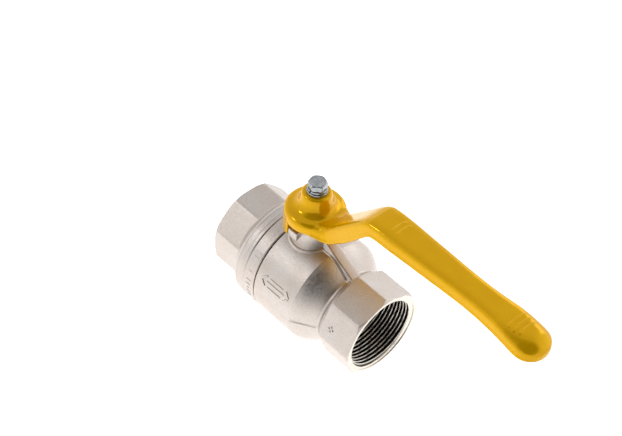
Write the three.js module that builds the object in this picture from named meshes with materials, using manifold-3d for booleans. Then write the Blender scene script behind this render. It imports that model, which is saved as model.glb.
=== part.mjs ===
// Two-piece full-bore ball valve, G 1 1/2 (DN 40), with a cast quarter-turn lever.
// Millimetres. The origin is the ball's centre, +X runs along the bore to the body's own mouth and
// +Z runs up the stem. The valve is open as drawn: lever and ball bore both lie along X.

import * as THREE from "three";
import { mergeVertices } from "three/addons/utils/BufferGeometryUtils.js";
import Module from "manifold-3d";

const wasm = await Module();
wasm.setup();

// Thread and bore
const BORE_RADIUS = 20;
const THREAD_MINOR_RADIUS = 22.45;
const THREAD_LENGTH = 22;
const THREAD_RUNOUT = 2;
const MOUTH_RADIUS = 24.5;
const MOUTH_CHAMFER = 1.8;

// Shell: stations along X and radii
const FRONT_FACE = 61.5;
const REAR_FACE = -54.2;
const SEAM = -11.6;
const JOINT_GAP = 0.3;
const OCTAGON_FLATS = 53;
const OCTAGON_LENGTH = 24;
const REAR_OCTAGON_LENGTH = 19.4;
const REAR_OCTAGON_TURN = -20.5;
const OCTAGON_FACE_RADIUS = 26.2;
const OCTAGON_CHAMFER = 1.6;
const EDGE_CHAMFER = 0.5;
const BARREL_RADIUS = 33.4;
const BARREL_END = 18.6;
const TAPER_FALL = [[3, 0.6], [6.5, 2.4], [10.5, 5.4]]; // distance past the barrel, drop in radius
const NECK_STATION = 33;
const NECK_RADIUS = 24.6;
const COLLAR_RADIUS = 26.4;
const RING_REAR = -28.5;
const RING_GROOVE = -20.5;
const RING_RADIUS = 33.8;
const CAVITY_RADIUS = 28.3;
const CAVITY_FRONT = 16.4;
const CAVITY_SHOULDER = 12;
const SPIGOT_RADIUS = 31;
const SPIGOT_END = -19.1;
const SOCKET_FLOOR = -20.4;
const RIB_WIDTH = 6.8;
const RIB_SIDE = [[6, 30], [6, 40], [12.5, 39.2], [37.4, 26], [37.4, 23.4], [24, 27]]; // [x, z]

// Ball and seats
const BALL_RADIUS = 27.5;
const SLOT_WIDTH = 8.4;
const SLOT_FLOOR = 22;
const SEAT_RADIUS = 25.6;
const SEAT_POCKET_RADIUS = 25.9;
const SEAT_POCKET_DEPTH = 7.4;
const SEAT_START = 16.7;
const SEAT_CONTACT_RADIUS = 23.6;
const SEAT_CLEARANCE = 0.12;

// Bonnet and stem, heights above the bore axis
const BONNET_RADIUS = 12.6;
const BONNET_FOOT_RADIUS = 14.2;
const BONNET_TOP = 44.8;
const BONNET_ROOT = 20;
const BONNET_FOOT_TOP = 32.6;
const BONNET_FOOT_SLOPE = 1.6;
const BONNET_CHAMFER = 0.6;
const STEM_RADIUS = 6.9;
const STEM_BORE_RADIUS = 7.2;
const STEM_COLLAR_RADIUS = 9.3;
const STEM_COLLAR_BASE = 27.9;
const STEM_COLLAR_TOP = 31.2;
const CHAMBER_RADIUS = 9.7;
const CHAMBER_TOP = 32.9;
const GLAND_RADIUS = 9.9;
const GLAND_FLOOR = 39.5;
const GLAND_THREAD_BASE = 43.4;
const GLAND_NUT_FLATS = 20;
const GLAND_NUT_TOP = 48;
const STEM_SQUARE = 9.6;
const STEM_TOP = 63.6;
const STOP_INNER = 11.7;
const STOP_OUTER = 17.2;
const STOP_BASE = 40.5;
const STOP_TOP = 45.8;
const STOP_SPAN = 24;

// Stem seals
const GROOVE_RADIUS = 5.35;
const GROOVE_WIDTH = 2.1;
const LOWER_GROOVE = 33.6;
const UPPER_GROOVE = 36.8;
const O_RING_SECTION_RADIUS = 0.82;
const O_RING_CENTRE_RADIUS = 6.22;
const THRUST_WASHER_BASE = 31.4;
const THRUST_WASHER_TOP = 32.7;
const PACKING_INNER_RADIUS = 7.1;
const PACKING_BASE = 39.7;
const PACKING_TOP = 43.2;

// Lever
const HUB_RADIUS = 17.9;
const HUB_BASE = 48.6;
const HUB_TOP = 56.6;
const BOSS_TOP = 67.5;
const BOSS_CURVE = [[12.6, 57.2], [10.6, 59], [9.4, 62], [8.8, 65], [8.5, 66.8]]; // [radius, z]
const BOSS_TOP_RADIUS = 7.8;
const SOCKET_SQUARE = 10.2;
const SOCKET_TOP = 64.2;
const LUG_START = 222;
const LUG_END = 256;
const LUG_BASE = 40.4;
const LUG_INNER = 14;
const STOP_CLEARANCE = 2;
const LEVER_TRAVEL = 90;
const ARM_TOP = 88.4;
const ARM_BASE = 79.8;
const BEND_END = 53;
const ARM_HALF_WIDTH = 11.2;
const ROOT_FLARE = 4.4;
const WAIST_HALF_WIDTH = 9.1;
const WAIST_STATION = 112;
const TIP_HALF_WIDTH = 11.8;
const TIP_STATION = 152;
const TIP_END = 165.6;
const TIP_BASE = 77;
const ARM_ROOT = 8;
const ARM_UNDERSIDE = [[21.5, 48.6], [35, 60.4], [45.4, 72.8]]; // [x, z] up to the bend
const ARM_UPPER_SIDE = [[40.8, 82.4], [17.2, 57.8]]; // [x, z] down from the bend
const CHANNEL_WALL = 3.6;
const CHANNEL_DEPTH = 4;

// Bolt and washers, M6
const BOLT_RADIUS = 2.95;
const BOLT_HOLE_RADIUS = 3.3;
const BOLT_FLATS = 10;
const BOLT_TURN = 13;
const BOLT_END = 53;
const HEAD_BASE = 70.8;
const HEAD_TOP = 74.8;
const FLAT_WASHER_RADIUS = 6.2;
const FLAT_WASHER_THICKNESS = 1.6;
const LOCK_WASHER_RADIUS = 5.7;
const LOCK_WASHER_SPLIT = 0.8;
const STACK_GAP = 0.05;

const ROUND_STEPS = 56;
const SMALL_STEPS = 32;
const degrees = THREE.MathUtils.degToRad;

// Finishes
const finish = (color, roughness, metalness) =>
  new THREE.MeshStandardMaterial({ color, roughness, metalness });
const nickelPlate = finish(0xcfc8bf, 0.42, 1);
const chromePlate = finish(0xd9dbdd, 0.12, 1);
const plainBrass = finish(0xc9a45c, 0.35, 1);
const zincPlate = finish(0xb7babd, 0.3, 1);
const yellowCoat = finish(0xe0a800, 0.28, 0);
const whiteSeal = finish(0xf0efe9, 0.5, 0);
const blackRubber = finish(0x1b1b1c, 0.7, 0);

// A closed geometry as a solid that can be joined and cut.
function solid(geometry) {
  const bare = geometry.index ? geometry.toNonIndexed() : geometry.clone();
  bare.deleteAttribute("normal");
  bare.deleteAttribute("uv");
  const merged = mergeVertices(bare, 1e-4);
  const corners = Array.from(merged.index.array);
  const kept = [];
  for (let i = 0; i < corners.length; i += 3) {
    const [a, b, c] = corners.slice(i, i + 3);
    if (a !== b && b !== c && c !== a) kept.push(a, b, c);
  }
  const vertProperties = merged.attributes.position.array;
  return new wasm.Manifold(
    new wasm.Mesh({ numProp: 3, vertProperties, triVerts: new Uint32Array(kept) }),
  );
}

// The named mesh of a finished solid.
function piece(name, body, material) {
  const { vertProperties, triVerts } = body.getMesh();
  const geometry = new THREE.BufferGeometry();
  geometry.setAttribute("position", new THREE.BufferAttribute(vertProperties, 3));
  geometry.setIndex(new THREE.BufferAttribute(triVerts, 1));
  geometry.computeVertexNormals();
  const mesh = new THREE.Mesh(geometry, material);
  mesh.name = name;
  return mesh;
}

// A turned geometry about +Y, from [radius, height] pairs that close on themselves.
function turned(profile, steps) {
  const points = profile.map(([radius, height]) => new THREE.Vector2(radius, height));
  if (THREE.ShapeUtils.area(points) < 0) points.reverse();
  points.push(points[0].clone());
  return new THREE.LatheGeometry(points, steps);
}

// Turned about the bore: [x, radius] pairs.
function alongBore(stations, steps = ROUND_STEPS) {
  const profile = stations.map(([x, radius]) => [radius, x]);
  return solid(turned(profile, steps).rotateZ(-Math.PI / 2));
}

// Turned about the stem: [radius, z] pairs.
const aboutStem = (profile, steps = ROUND_STEPS) =>
  solid(turned(profile, steps).rotateX(Math.PI / 2));

const ringAboutStem = (inner, outer, base, top, steps = SMALL_STEPS) =>
  aboutStem([[inner, base], [outer, base], [outer, top], [inner, top]], steps);

function block(sizeX, sizeY, base, top, x = 0, y = 0) {
  const geometry = new THREE.BoxGeometry(sizeX, sizeY, top - base);
  return solid(geometry.translate(x, y, (base + top) / 2));
}

// A sector of a ring about the stem, between two angles in degrees.
function ringSector(inner, outer, startAngle, endAngle, base, top) {
  const shape = new THREE.Shape();
  shape.absarc(0, 0, outer, degrees(startAngle), degrees(endAngle), false);
  shape.absarc(0, 0, inner, degrees(endAngle), degrees(startAngle), true);
  const options = { depth: top - base, bevelEnabled: false, curveSegments: 8 };
  return solid(new THREE.ExtrudeGeometry(shape, options).translate(0, 0, base));
}

// A hexagon of the given width across flats, turned in degrees, its top corners cut to a cone.
function hexagonHead(flats, base, top, turn) {
  const corner = flats / 2 / Math.cos(Math.PI / 6);
  const prism = new THREE.CylinderGeometry(corner, corner, top - base, 6);
  prism.rotateX(Math.PI / 2).rotateZ(degrees(turn)).translate(0, 0, (base + top) / 2);
  const topRadius = flats / 2 - 0.3;
  const cone = [
    [0, base], [corner, base], [corner, top - EDGE_CHAMFER], [topRadius, top], [0, top],
  ];
  return solid(prism).intersect(aboutStem(cone, SMALL_STEPS));
}

// An octagonal end along X, its corners turned off at both ends.
function octagonEnd(inward, face, turn) {
  const corner = OCTAGON_FLATS / 2 / Math.cos(Math.PI / 8);
  const length = Math.abs(face - inward);
  const outward = Math.sign(face - inward);
  const prism = new THREE.CylinderGeometry(corner, corner, length, 8);
  prism.rotateZ(-Math.PI / 2).rotateX(degrees(turn)).translate((face + inward) / 2, 0, 0);
  const envelope = [
    [inward, 0],
    [inward, COLLAR_RADIUS],
    [inward + outward * OCTAGON_CHAMFER, corner + 0.1],
    [face - outward * OCTAGON_CHAMFER, corner + 0.1],
    [face, OCTAGON_FACE_RADIUS],
    [face, 0],
  ];
  return solid(prism).intersect(alongBore(envelope));
}

// Everything that is cut out of one end, from its face to its seat pocket: [x, radius] pairs.
function endPassage(face) {
  const inward = -Math.sign(face);
  const side = Math.sign(face);
  const threadEnd = face + inward * THREAD_LENGTH;
  const pocketEnd = side * (SEAT_START + SEAT_POCKET_DEPTH);
  return alongBore([
    [face + side, 0],
    [face + side, MOUTH_RADIUS + 1],
    [face, MOUTH_RADIUS],
    [face + inward * MOUTH_CHAMFER, THREAD_MINOR_RADIUS],
    [threadEnd, THREAD_MINOR_RADIUS],
    [threadEnd + inward * THREAD_RUNOUT, BORE_RADIUS],
    [pocketEnd, BORE_RADIUS],
    [pocketEnd, SEAT_POCKET_RADIUS],
    [side * CAVITY_FRONT, SEAT_POCKET_RADIUS],
    [side * CAVITY_FRONT, 0],
  ]);
}

function makeBody() {
  const octagonStart = FRONT_FACE - OCTAGON_LENGTH;
  const shell = alongBore([
    [SPIGOT_END, 0],
    [SPIGOT_END, SPIGOT_RADIUS],
    [SEAM, SPIGOT_RADIUS],
    [SEAM, BARREL_RADIUS - EDGE_CHAMFER],
    [SEAM + EDGE_CHAMFER, BARREL_RADIUS],
    [BARREL_END, BARREL_RADIUS],
    ...TAPER_FALL.map(([along, drop]) => [BARREL_END + along, BARREL_RADIUS - drop]),
    [NECK_STATION, NECK_RADIUS],
    [octagonStart, COLLAR_RADIUS],
    [octagonStart + 1, COLLAR_RADIUS],
    [octagonStart + 1, 0],
  ]);
  const bonnet = aboutStem([
    [0, BONNET_ROOT],
    [BONNET_FOOT_RADIUS, BONNET_ROOT],
    [BONNET_FOOT_RADIUS, BONNET_FOOT_TOP],
    [BONNET_RADIUS, BONNET_FOOT_TOP + BONNET_FOOT_SLOPE],
    [BONNET_RADIUS, BONNET_TOP - BONNET_CHAMFER],
    [BONNET_RADIUS - BONNET_CHAMFER, BONNET_TOP],
    [0, BONNET_TOP],
  ]);
  const openStop = ringSector(
    STOP_INNER, STOP_OUTER,
    LUG_END + STOP_CLEARANCE, LUG_END + STOP_CLEARANCE + STOP_SPAN,
    STOP_BASE, STOP_TOP,
  );
  const closedEdge = LUG_START - LEVER_TRAVEL - STOP_CLEARANCE;
  const closedStop = ringSector(
    STOP_INNER, STOP_OUTER, closedEdge - STOP_SPAN, closedEdge, STOP_BASE, STOP_TOP,
  );
  const ballChamber = alongBore([
    [SPIGOT_END - 1, 0],
    [SPIGOT_END - 1, CAVITY_RADIUS],
    [CAVITY_SHOULDER, CAVITY_RADIUS],
    [CAVITY_FRONT, SEAT_POCKET_RADIUS],
    [CAVITY_FRONT + 0.1, 0],
  ]);
  // Room for the connector's ring, where the bonnet's foot reaches past the seam.
  const ringRoom = alongBore([
    [SEAM - 8, SPIGOT_RADIUS],
    [SEAM - 8, RING_RADIUS + JOINT_GAP],
    [SEAM, RING_RADIUS + JOINT_GAP],
    [SEAM, SPIGOT_RADIUS],
  ]);
  const stemPassage = aboutStem([
    [0, BONNET_ROOT - 5],
    [CHAMBER_RADIUS, BONNET_ROOT - 5],
    [CHAMBER_RADIUS, CHAMBER_TOP],
    [STEM_BORE_RADIUS, CHAMBER_TOP],
    [STEM_BORE_RADIUS, GLAND_FLOOR],
    [GLAND_RADIUS, GLAND_FLOOR],
    [GLAND_RADIUS, BONNET_TOP + 1],
    [0, BONNET_TOP + 1],
  ], SMALL_STEPS);
  return shell
    .add(octagonEnd(octagonStart, FRONT_FACE, 0))
    .add(makeRib())
    .add(bonnet)
    .add(openStop)
    .add(closedStop)
    .subtract(endPassage(FRONT_FACE))
    .subtract(ballChamber)
    .subtract(ringRoom)
    .subtract(stemPassage);
}

// The flat-topped rib from the bonnet down to the front collar.
function makeRib() {
  const side = new THREE.Shape(RIB_SIDE.map(([x, z]) => new THREE.Vector2(x, z)));
  const options = { depth: RIB_WIDTH, bevelEnabled: false };
  const geometry = new THREE.ExtrudeGeometry(side, options);
  return solid(geometry.rotateX(Math.PI / 2).translate(0, RIB_WIDTH / 2, 0));
}

// The connector's ring screws over the body's spigot, and its lip holds the rear seat.
function makeEndConnector() {
  const octagonEdge = REAR_FACE + REAR_OCTAGON_LENGTH;
  const ringFront = SEAM - JOINT_GAP;
  const shell = alongBore([
    [octagonEdge - 1, 0],
    [octagonEdge - 1, COLLAR_RADIUS],
    [octagonEdge + 0.4, COLLAR_RADIUS],
    [RING_REAR - 0.7, RING_RADIUS - 1.4],
    [RING_REAR + 1, RING_RADIUS - 0.3],
    [RING_GROOVE - 0.4, RING_RADIUS],
    [RING_GROOVE, RING_RADIUS - 0.5],
    [RING_GROOVE + 0.4, RING_RADIUS],
    [ringFront - EDGE_CHAMFER, RING_RADIUS],
    [ringFront, RING_RADIUS - EDGE_CHAMFER],
    [ringFront, SPIGOT_RADIUS + JOINT_GAP],
    [SOCKET_FLOOR, SPIGOT_RADIUS + JOINT_GAP],
    [SOCKET_FLOOR, CAVITY_RADIUS - JOINT_GAP],
    [-CAVITY_FRONT, CAVITY_RADIUS - JOINT_GAP],
    [-CAVITY_FRONT, 0],
  ]);
  return shell
    .add(octagonEnd(octagonEdge, REAR_FACE, REAR_OCTAGON_TURN))
    .subtract(endPassage(REAR_FACE));
}

// The ring that the body's spigot is tightened on to, at the floor of the connector's socket.
function makeBodySealRing() {
  const start = SOCKET_FLOOR + 0.1;
  const end = SPIGOT_END - 0.1;
  const outer = SPIGOT_RADIUS;
  const inner = CAVITY_RADIUS + 0.1;
  return alongBore([[start, inner], [start, outer], [end, outer], [end, inner]]);
}

// A seat ring: its inner corner is a cone that meets the ball.
function makeSeat(side) {
  const ballAt = (radius) => Math.sqrt((BALL_RADIUS + SEAT_CLEARANCE) ** 2 - radius ** 2);
  const innerRadius = BORE_RADIUS + 0.3;
  const back = SEAT_START + SEAT_POCKET_DEPTH - 0.2;
  const face = ballAt(SEAT_CONTACT_RADIUS) + 0.2;
  return alongBore([
    [side * back, innerRadius],
    [side * (ballAt(innerRadius) + 0.3), innerRadius],
    [side * face, SEAT_CONTACT_RADIUS],
    [side * face, SEAT_RADIUS - 0.6],
    [side * (face + 0.6), SEAT_RADIUS],
    [side * back, SEAT_RADIUS],
  ]);
}

function makeBall() {
  const sphere = new THREE.SphereGeometry(BALL_RADIUS, 48, 28).rotateZ(Math.PI / 2);
  const reach = BALL_RADIUS + 1;
  const bore = alongBore([[-reach, 0], [-reach, BORE_RADIUS], [reach, BORE_RADIUS], [reach, 0]]);
  const slot = block(SLOT_WIDTH, 2 * reach, SLOT_FLOOR, reach);
  return solid(sphere).subtract(bore).subtract(slot);
}

// Blow-out proof stem: tongue, collar, two ring grooves, square and a tapped top.
function makeStem() {
  const groove = (base) => [
    [STEM_RADIUS, base],
    [GROOVE_RADIUS, base],
    [GROOVE_RADIUS, base + GROOVE_WIDTH],
    [STEM_RADIUS, base + GROOVE_WIDTH],
  ];
  const shaft = aboutStem([
    [0, STEM_COLLAR_BASE],
    [STEM_COLLAR_RADIUS, STEM_COLLAR_BASE],
    [STEM_COLLAR_RADIUS, STEM_COLLAR_TOP],
    [STEM_RADIUS, STEM_COLLAR_TOP],
    ...groove(LOWER_GROOVE),
    ...groove(UPPER_GROOVE),
    [STEM_RADIUS, HUB_BASE],
    [0, HUB_BASE],
  ], SMALL_STEPS);
  const tongueLength = 17;
  const tongue = block(
    SLOT_WIDTH - 0.6, tongueLength, SLOT_FLOOR + 0.5, STEM_COLLAR_BASE + 0.5,
  );
  const square = block(STEM_SQUARE, STEM_SQUARE, HUB_BASE - 1, STEM_TOP);
  const tappedHole = aboutStem([
    [0, BOLT_END - 2], [BOLT_HOLE_RADIUS - 0.1, BOLT_END - 1],
    [BOLT_HOLE_RADIUS - 0.1, STEM_TOP + 1], [0, STEM_TOP + 1],
  ], SMALL_STEPS);
  return shaft.add(tongue).add(square).subtract(tappedHole);
}

// An O-ring in the middle of the stem groove that starts at this height.
function makeStemORing(groove) {
  const ring = new THREE.TorusGeometry(
    O_RING_CENTRE_RADIUS, O_RING_SECTION_RADIUS, 8, SMALL_STEPS,
  );
  return solid(ring.translate(0, 0, groove + GROOVE_WIDTH / 2));
}

function makeGlandNut() {
  const thread = ringAboutStem(
    STEM_BORE_RADIUS, GLAND_RADIUS - 0.3, GLAND_THREAD_BASE, BONNET_TOP + 0.5,
  );
  const head = hexagonHead(GLAND_NUT_FLATS, BONNET_TOP + 0.2, GLAND_NUT_TOP, 0);
  const below = GLAND_THREAD_BASE - 2;
  const above = GLAND_NUT_TOP + 2;
  const hole = aboutStem([
    [0, below], [STEM_BORE_RADIUS, below], [STEM_BORE_RADIUS, above], [0, above],
  ], SMALL_STEPS);
  return thread.add(head).subtract(hole);
}

// The arm seen from the side: up from the hub at about 45 degrees, over the bend and out level.
function armSide() {
  const side = new THREE.Shape();
  side.moveTo(ARM_ROOT, HUB_BASE);
  ARM_UNDERSIDE.forEach(([x, z]) => side.lineTo(x, z));
  side.quadraticCurveTo(BEND_END - 2.4, ARM_BASE - 0.6, BEND_END + 5, ARM_BASE);
  side.lineTo(TIP_STATION - 18, ARM_BASE);
  side.quadraticCurveTo(TIP_STATION - 10, TIP_BASE, TIP_STATION, TIP_BASE);
  side.lineTo(TIP_END - 4, TIP_BASE);
  side.quadraticCurveTo(TIP_END, TIP_BASE, TIP_END, TIP_BASE + 4);
  side.quadraticCurveTo(TIP_END - 2, ARM_TOP - 2, TIP_STATION - 4, ARM_TOP);
  side.lineTo(BEND_END, ARM_TOP);
  const [bendStart, slopeFoot] = ARM_UPPER_SIDE;
  side.quadraticCurveTo(BEND_END - 6.5, ARM_TOP, ...bendStart);
  side.lineTo(...slopeFoot);
  side.quadraticCurveTo(slopeFoot[0] - 1.7, HUB_TOP - 0.6, ARM_ROOT, HUB_TOP - 0.6);
  side.closePath();
  const halfWidth = 20;
  const options = { depth: 2 * halfWidth, bevelEnabled: false, curveSegments: 6 };
  const geometry = new THREE.ExtrudeGeometry(side, options);
  return solid(geometry.rotateX(Math.PI / 2).translate(0, halfWidth, 0));
}

// The arm seen from above: it flares into the hub, narrows to a waist and widens into a round tip.
function armPlan(inset, start, end, flare) {
  const outline = new THREE.Shape();
  const waist = WAIST_HALF_WIDTH - inset;
  const tip = TIP_HALF_WIDTH - inset;
  const root = ARM_HALF_WIDTH - inset;
  outline.moveTo(start, -root - flare);
  outline.quadraticCurveTo(start + 7, -root - 0.8, start + 13, -root);
  outline.lineTo(Math.max(start + 13, BEND_END), -root);
  outline.quadraticCurveTo(WAIST_STATION - 20, -waist, WAIST_STATION, -waist);
  outline.quadraticCurveTo(TIP_STATION - 20, -waist, TIP_STATION, -tip);
  outline.bezierCurveTo(end - 3, -tip, end, -tip / 2, end, 0);
  outline.bezierCurveTo(end, tip / 2, end - 3, tip, TIP_STATION, tip);
  outline.quadraticCurveTo(TIP_STATION - 20, waist, WAIST_STATION, waist);
  outline.quadraticCurveTo(WAIST_STATION - 20, waist, Math.max(start + 13, BEND_END), root);
  outline.lineTo(start + 13, root);
  outline.quadraticCurveTo(start + 7, root + 0.8, start, root + flare);
  outline.closePath();
  return outline;
}

function prismFromPlan(outline, base, top) {
  const options = { depth: top - base, bevelEnabled: false, curveSegments: 6 };
  return solid(new THREE.ExtrudeGeometry(outline, options).translate(0, 0, base));
}

function makeLever() {
  const outline = armPlan(0, ARM_ROOT, TIP_END, ROOT_FLARE);
  const arm = armSide().intersect(prismFromPlan(outline, HUB_BASE, ARM_TOP + 1));
  const hub = aboutStem([
    [0, HUB_BASE],
    [HUB_RADIUS - 0.8, HUB_BASE],
    [HUB_RADIUS, HUB_BASE + 0.8],
    [HUB_RADIUS, HUB_TOP - 2.2],
    [HUB_RADIUS - 0.7, HUB_TOP - 0.7],
    [HUB_RADIUS - 2.2, HUB_TOP],
    ...BOSS_CURVE,
    [BOSS_TOP_RADIUS, BOSS_TOP],
    [0, BOSS_TOP],
  ]);
  const lug = ringSector(LUG_INNER, HUB_RADIUS, LUG_START, LUG_END, LUG_BASE, HUB_BASE + 2);
  const socket = block(SOCKET_SQUARE, SOCKET_SQUARE, HUB_BASE - 1, SOCKET_TOP);
  const boltHole = aboutStem([
    [0, SOCKET_TOP - 1], [BOLT_HOLE_RADIUS, SOCKET_TOP - 1],
    [BOLT_HOLE_RADIUS, BOSS_TOP + 1], [0, BOSS_TOP + 1],
  ], SMALL_STEPS);
  const channel = prismFromPlan(
    armPlan(CHANNEL_WALL, BEND_END + 10, TIP_END - CHANNEL_WALL - 2, 0),
    TIP_BASE - 1,
    ARM_BASE + CHANNEL_DEPTH,
  );
  return arm.add(hub).add(lug).subtract(socket).subtract(boltHole).subtract(channel);
}

function makeFlatWasher() {
  const base = BOSS_TOP + STACK_GAP;
  return ringAboutStem(
    BOLT_HOLE_RADIUS, FLAT_WASHER_RADIUS, base, base + FLAT_WASHER_THICKNESS,
  );
}

// A split spring washer, flattened as it is under load.
function makeLockWasher() {
  const base = BOSS_TOP + 2 * STACK_GAP + FLAT_WASHER_THICKNESS;
  const ring = ringAboutStem(BOLT_HOLE_RADIUS, LOCK_WASHER_RADIUS, base, HEAD_BASE - STACK_GAP);
  const split = block(LOCK_WASHER_SPLIT, 8, base - 1, HEAD_BASE + 1, 0, -5);
  return ring.subtract(split);
}

function makeLeverBolt() {
  const pointRadius = BOLT_RADIUS - 0.6;
  const shank = aboutStem([
    [0, BOLT_END], [pointRadius, BOLT_END], [BOLT_RADIUS, BOLT_END + 0.6],
    [BOLT_RADIUS, HEAD_BASE + 0.5], [0, HEAD_BASE + 0.5],
  ], SMALL_STEPS);
  return shank.add(hexagonHead(BOLT_FLATS, HEAD_BASE, HEAD_TOP, BOLT_TURN));
}

const thrustWasher = ringAboutStem(
  STEM_BORE_RADIUS, STEM_COLLAR_RADIUS, THRUST_WASHER_BASE, THRUST_WASHER_TOP,
);
const packingRing = ringAboutStem(
  PACKING_INNER_RADIUS, CHAMBER_RADIUS, PACKING_BASE, PACKING_TOP,
);

const group = new THREE.Group();
group.add(
  piece("body", makeBody(), nickelPlate),
  piece("end_connector", makeEndConnector(), nickelPlate),
  piece("body_seal_ring", makeBodySealRing(), whiteSeal),
  piece("seat_ring_front", makeSeat(1), whiteSeal),
  piece("seat_ring_rear", makeSeat(-1), whiteSeal),
  piece("ball", makeBall(), chromePlate),
  piece("stem", makeStem(), plainBrass),
  piece("stem_thrust_washer", thrustWasher, whiteSeal),
  piece("stem_o_ring_lower", makeStemORing(LOWER_GROOVE), blackRubber),
  piece("stem_o_ring_upper", makeStemORing(UPPER_GROOVE), blackRubber),
  piece("stem_packing_ring", packingRing, whiteSeal),
  piece("gland_nut", makeGlandNut(), plainBrass),
  piece("lever", makeLever(), yellowCoat),
  piece("flat_washer", makeFlatWasher(), zincPlate),
  piece("lock_washer", makeLockWasher(), zincPlate),
  piece("lever_bolt", makeLeverBolt(), zincPlate),
);

export default group;
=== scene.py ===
"""Detailed two-piece ball valve with a cast lever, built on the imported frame."""

import math

import bmesh
import bpy
import numpy as np
from mathutils import Matrix, Vector


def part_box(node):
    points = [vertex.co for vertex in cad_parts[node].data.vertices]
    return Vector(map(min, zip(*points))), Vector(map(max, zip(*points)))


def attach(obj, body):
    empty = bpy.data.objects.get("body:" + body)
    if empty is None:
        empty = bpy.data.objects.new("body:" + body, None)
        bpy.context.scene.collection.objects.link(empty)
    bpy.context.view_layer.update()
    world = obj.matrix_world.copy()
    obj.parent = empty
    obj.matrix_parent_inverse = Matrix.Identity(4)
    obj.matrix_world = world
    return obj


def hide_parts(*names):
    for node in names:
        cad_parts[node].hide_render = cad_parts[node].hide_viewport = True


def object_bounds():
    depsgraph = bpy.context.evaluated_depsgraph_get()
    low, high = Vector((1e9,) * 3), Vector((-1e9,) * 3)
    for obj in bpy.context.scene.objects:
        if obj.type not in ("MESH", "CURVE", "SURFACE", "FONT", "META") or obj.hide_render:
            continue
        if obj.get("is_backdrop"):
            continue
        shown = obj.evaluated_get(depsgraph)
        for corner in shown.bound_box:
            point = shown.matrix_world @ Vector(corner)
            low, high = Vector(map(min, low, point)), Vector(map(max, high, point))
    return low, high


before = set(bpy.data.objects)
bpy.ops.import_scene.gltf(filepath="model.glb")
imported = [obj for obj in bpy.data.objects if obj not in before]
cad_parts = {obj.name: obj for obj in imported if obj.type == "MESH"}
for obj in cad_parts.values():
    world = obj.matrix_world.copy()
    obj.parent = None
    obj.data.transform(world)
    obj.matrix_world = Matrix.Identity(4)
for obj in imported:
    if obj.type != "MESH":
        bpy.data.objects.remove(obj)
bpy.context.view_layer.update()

bl_info = {
    "name": "Ball Valve",
    "version": (1, 0, 0),
    "blender": (4, 5, 0),
    "location": "3D Viewport > Sidebar > Valve",
    "description": "Builds a two-piece ball valve with its lever, bolt, seats and seals",
    "category": "Add Mesh",
}

MM = 0.001
TAU = 2 * math.pi
MERGE = 2e-6
OCTAGON = 8
HEXAGON = 6

# Share of a thread's pitch that its crests and its roots each keep flat.
FLAT_SHARE = 0.12

# Points round each socket, and how closely they crowd at the octagon's corners.
AROUND = 240
CROWDING = 0.8

# The material slots of the body and the connector.
CAST, TURNED, CUT = 0, 1, 2


def corner_mm(node, high):
    """The highest or lowest corner of a frame node, in millimetres."""
    return Vector(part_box(node)[1 if high else 0]) / MM


BODY_HIGH = corner_mm("body", True)
CONNECTOR_LOW = corner_mm("end_connector", False)
CONNECTOR_HIGH = corner_mm("end_connector", True)
LEVER_HIGH = corner_mm("lever", True)
BOLT_HIGH = corner_mm("lever_bolt", True)

# Sizes in millimetres that have to agree between pieces. The octagonal ends: the radii of the
# face's flat ring and of the chamfer's foot, the chamfer's length, and inside it the socket's
# counterbore, the rounding of its edge and the chamfer of its thread.
FACE_FLAT = 26.4
FACE_RADIUS = 26.9
FACE_CHAMFER = 1.4
COUNTERBORE = 0.6
MOUTH_ROUND = 0.15
MOUTH_CHAMFER = 0.8

# Where body and connector meet, and how far the connector's octagon is screwed round.
SEAM_GAP = 0.5
CONNECTOR_TURN = math.radians(-20.5)

# The body's taper as (station, radius), the length of its octagonal end, and the radius to which
# that end is turned off at its collar.
TAPER_START = 18.9
TAPER_END = 33.0
TAPER = ((TAPER_START, 33.4), (21.6, 32.5), (25.1, 30.75), (29.1, 27.9), (TAPER_END, 24.6))
BODY_OCTAGON = 24.0
COLLAR_RADIUS = 26.7

# Inside: the ball, the pockets for the seats, and the spigot that the connector screws over.
BALL_RADIUS = 27.5
POCKET_FLOOR = 24.1
POCKET_RADIUS = 25.9
POCKET_MOUTH = 16.4
SPIGOT_END = -19.1
SPIGOT_RADIUS = 31.0

# The stem's clearance holes: for its collar, for its shank and for the gland nut.
COLLAR_HOLE = 9.7
SHANK_HOLE = 7.2
GLAND_HOLE = 9.9

# The lever's arm: its depth, and the stations where it stops being straight, where its tip begins
# to round and where it ends.
ARM_DEPTH = 8.6
ARM_STRAIGHT_END = 139.0
ARM_TIP_START = 154.0
ARM_END = LEVER_HIGH.x - 0.12

# The hole through washers and lever, the height of the bolt's point and the turn of its head.
WASHER_HOLE = 3.3
BOLT_POINT = 53.0
BOLT_TURN = math.radians(43)


def length(name, description, millimetres):
    """A length property, with its default in millimetres."""
    return bpy.props.FloatProperty(
        name=name, description=description, default=millimetres * MM, unit="LENGTH", precision=5
    )


def colour(name, description, red, green, blue):
    """A colour property, with its default in linear red, green and blue."""
    return bpy.props.FloatVectorProperty(
        name=name,
        description=description,
        default=(red, green, blue),
        subtype="COLOR",
        size=3,
        min=0,
        max=1,
    )


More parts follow.
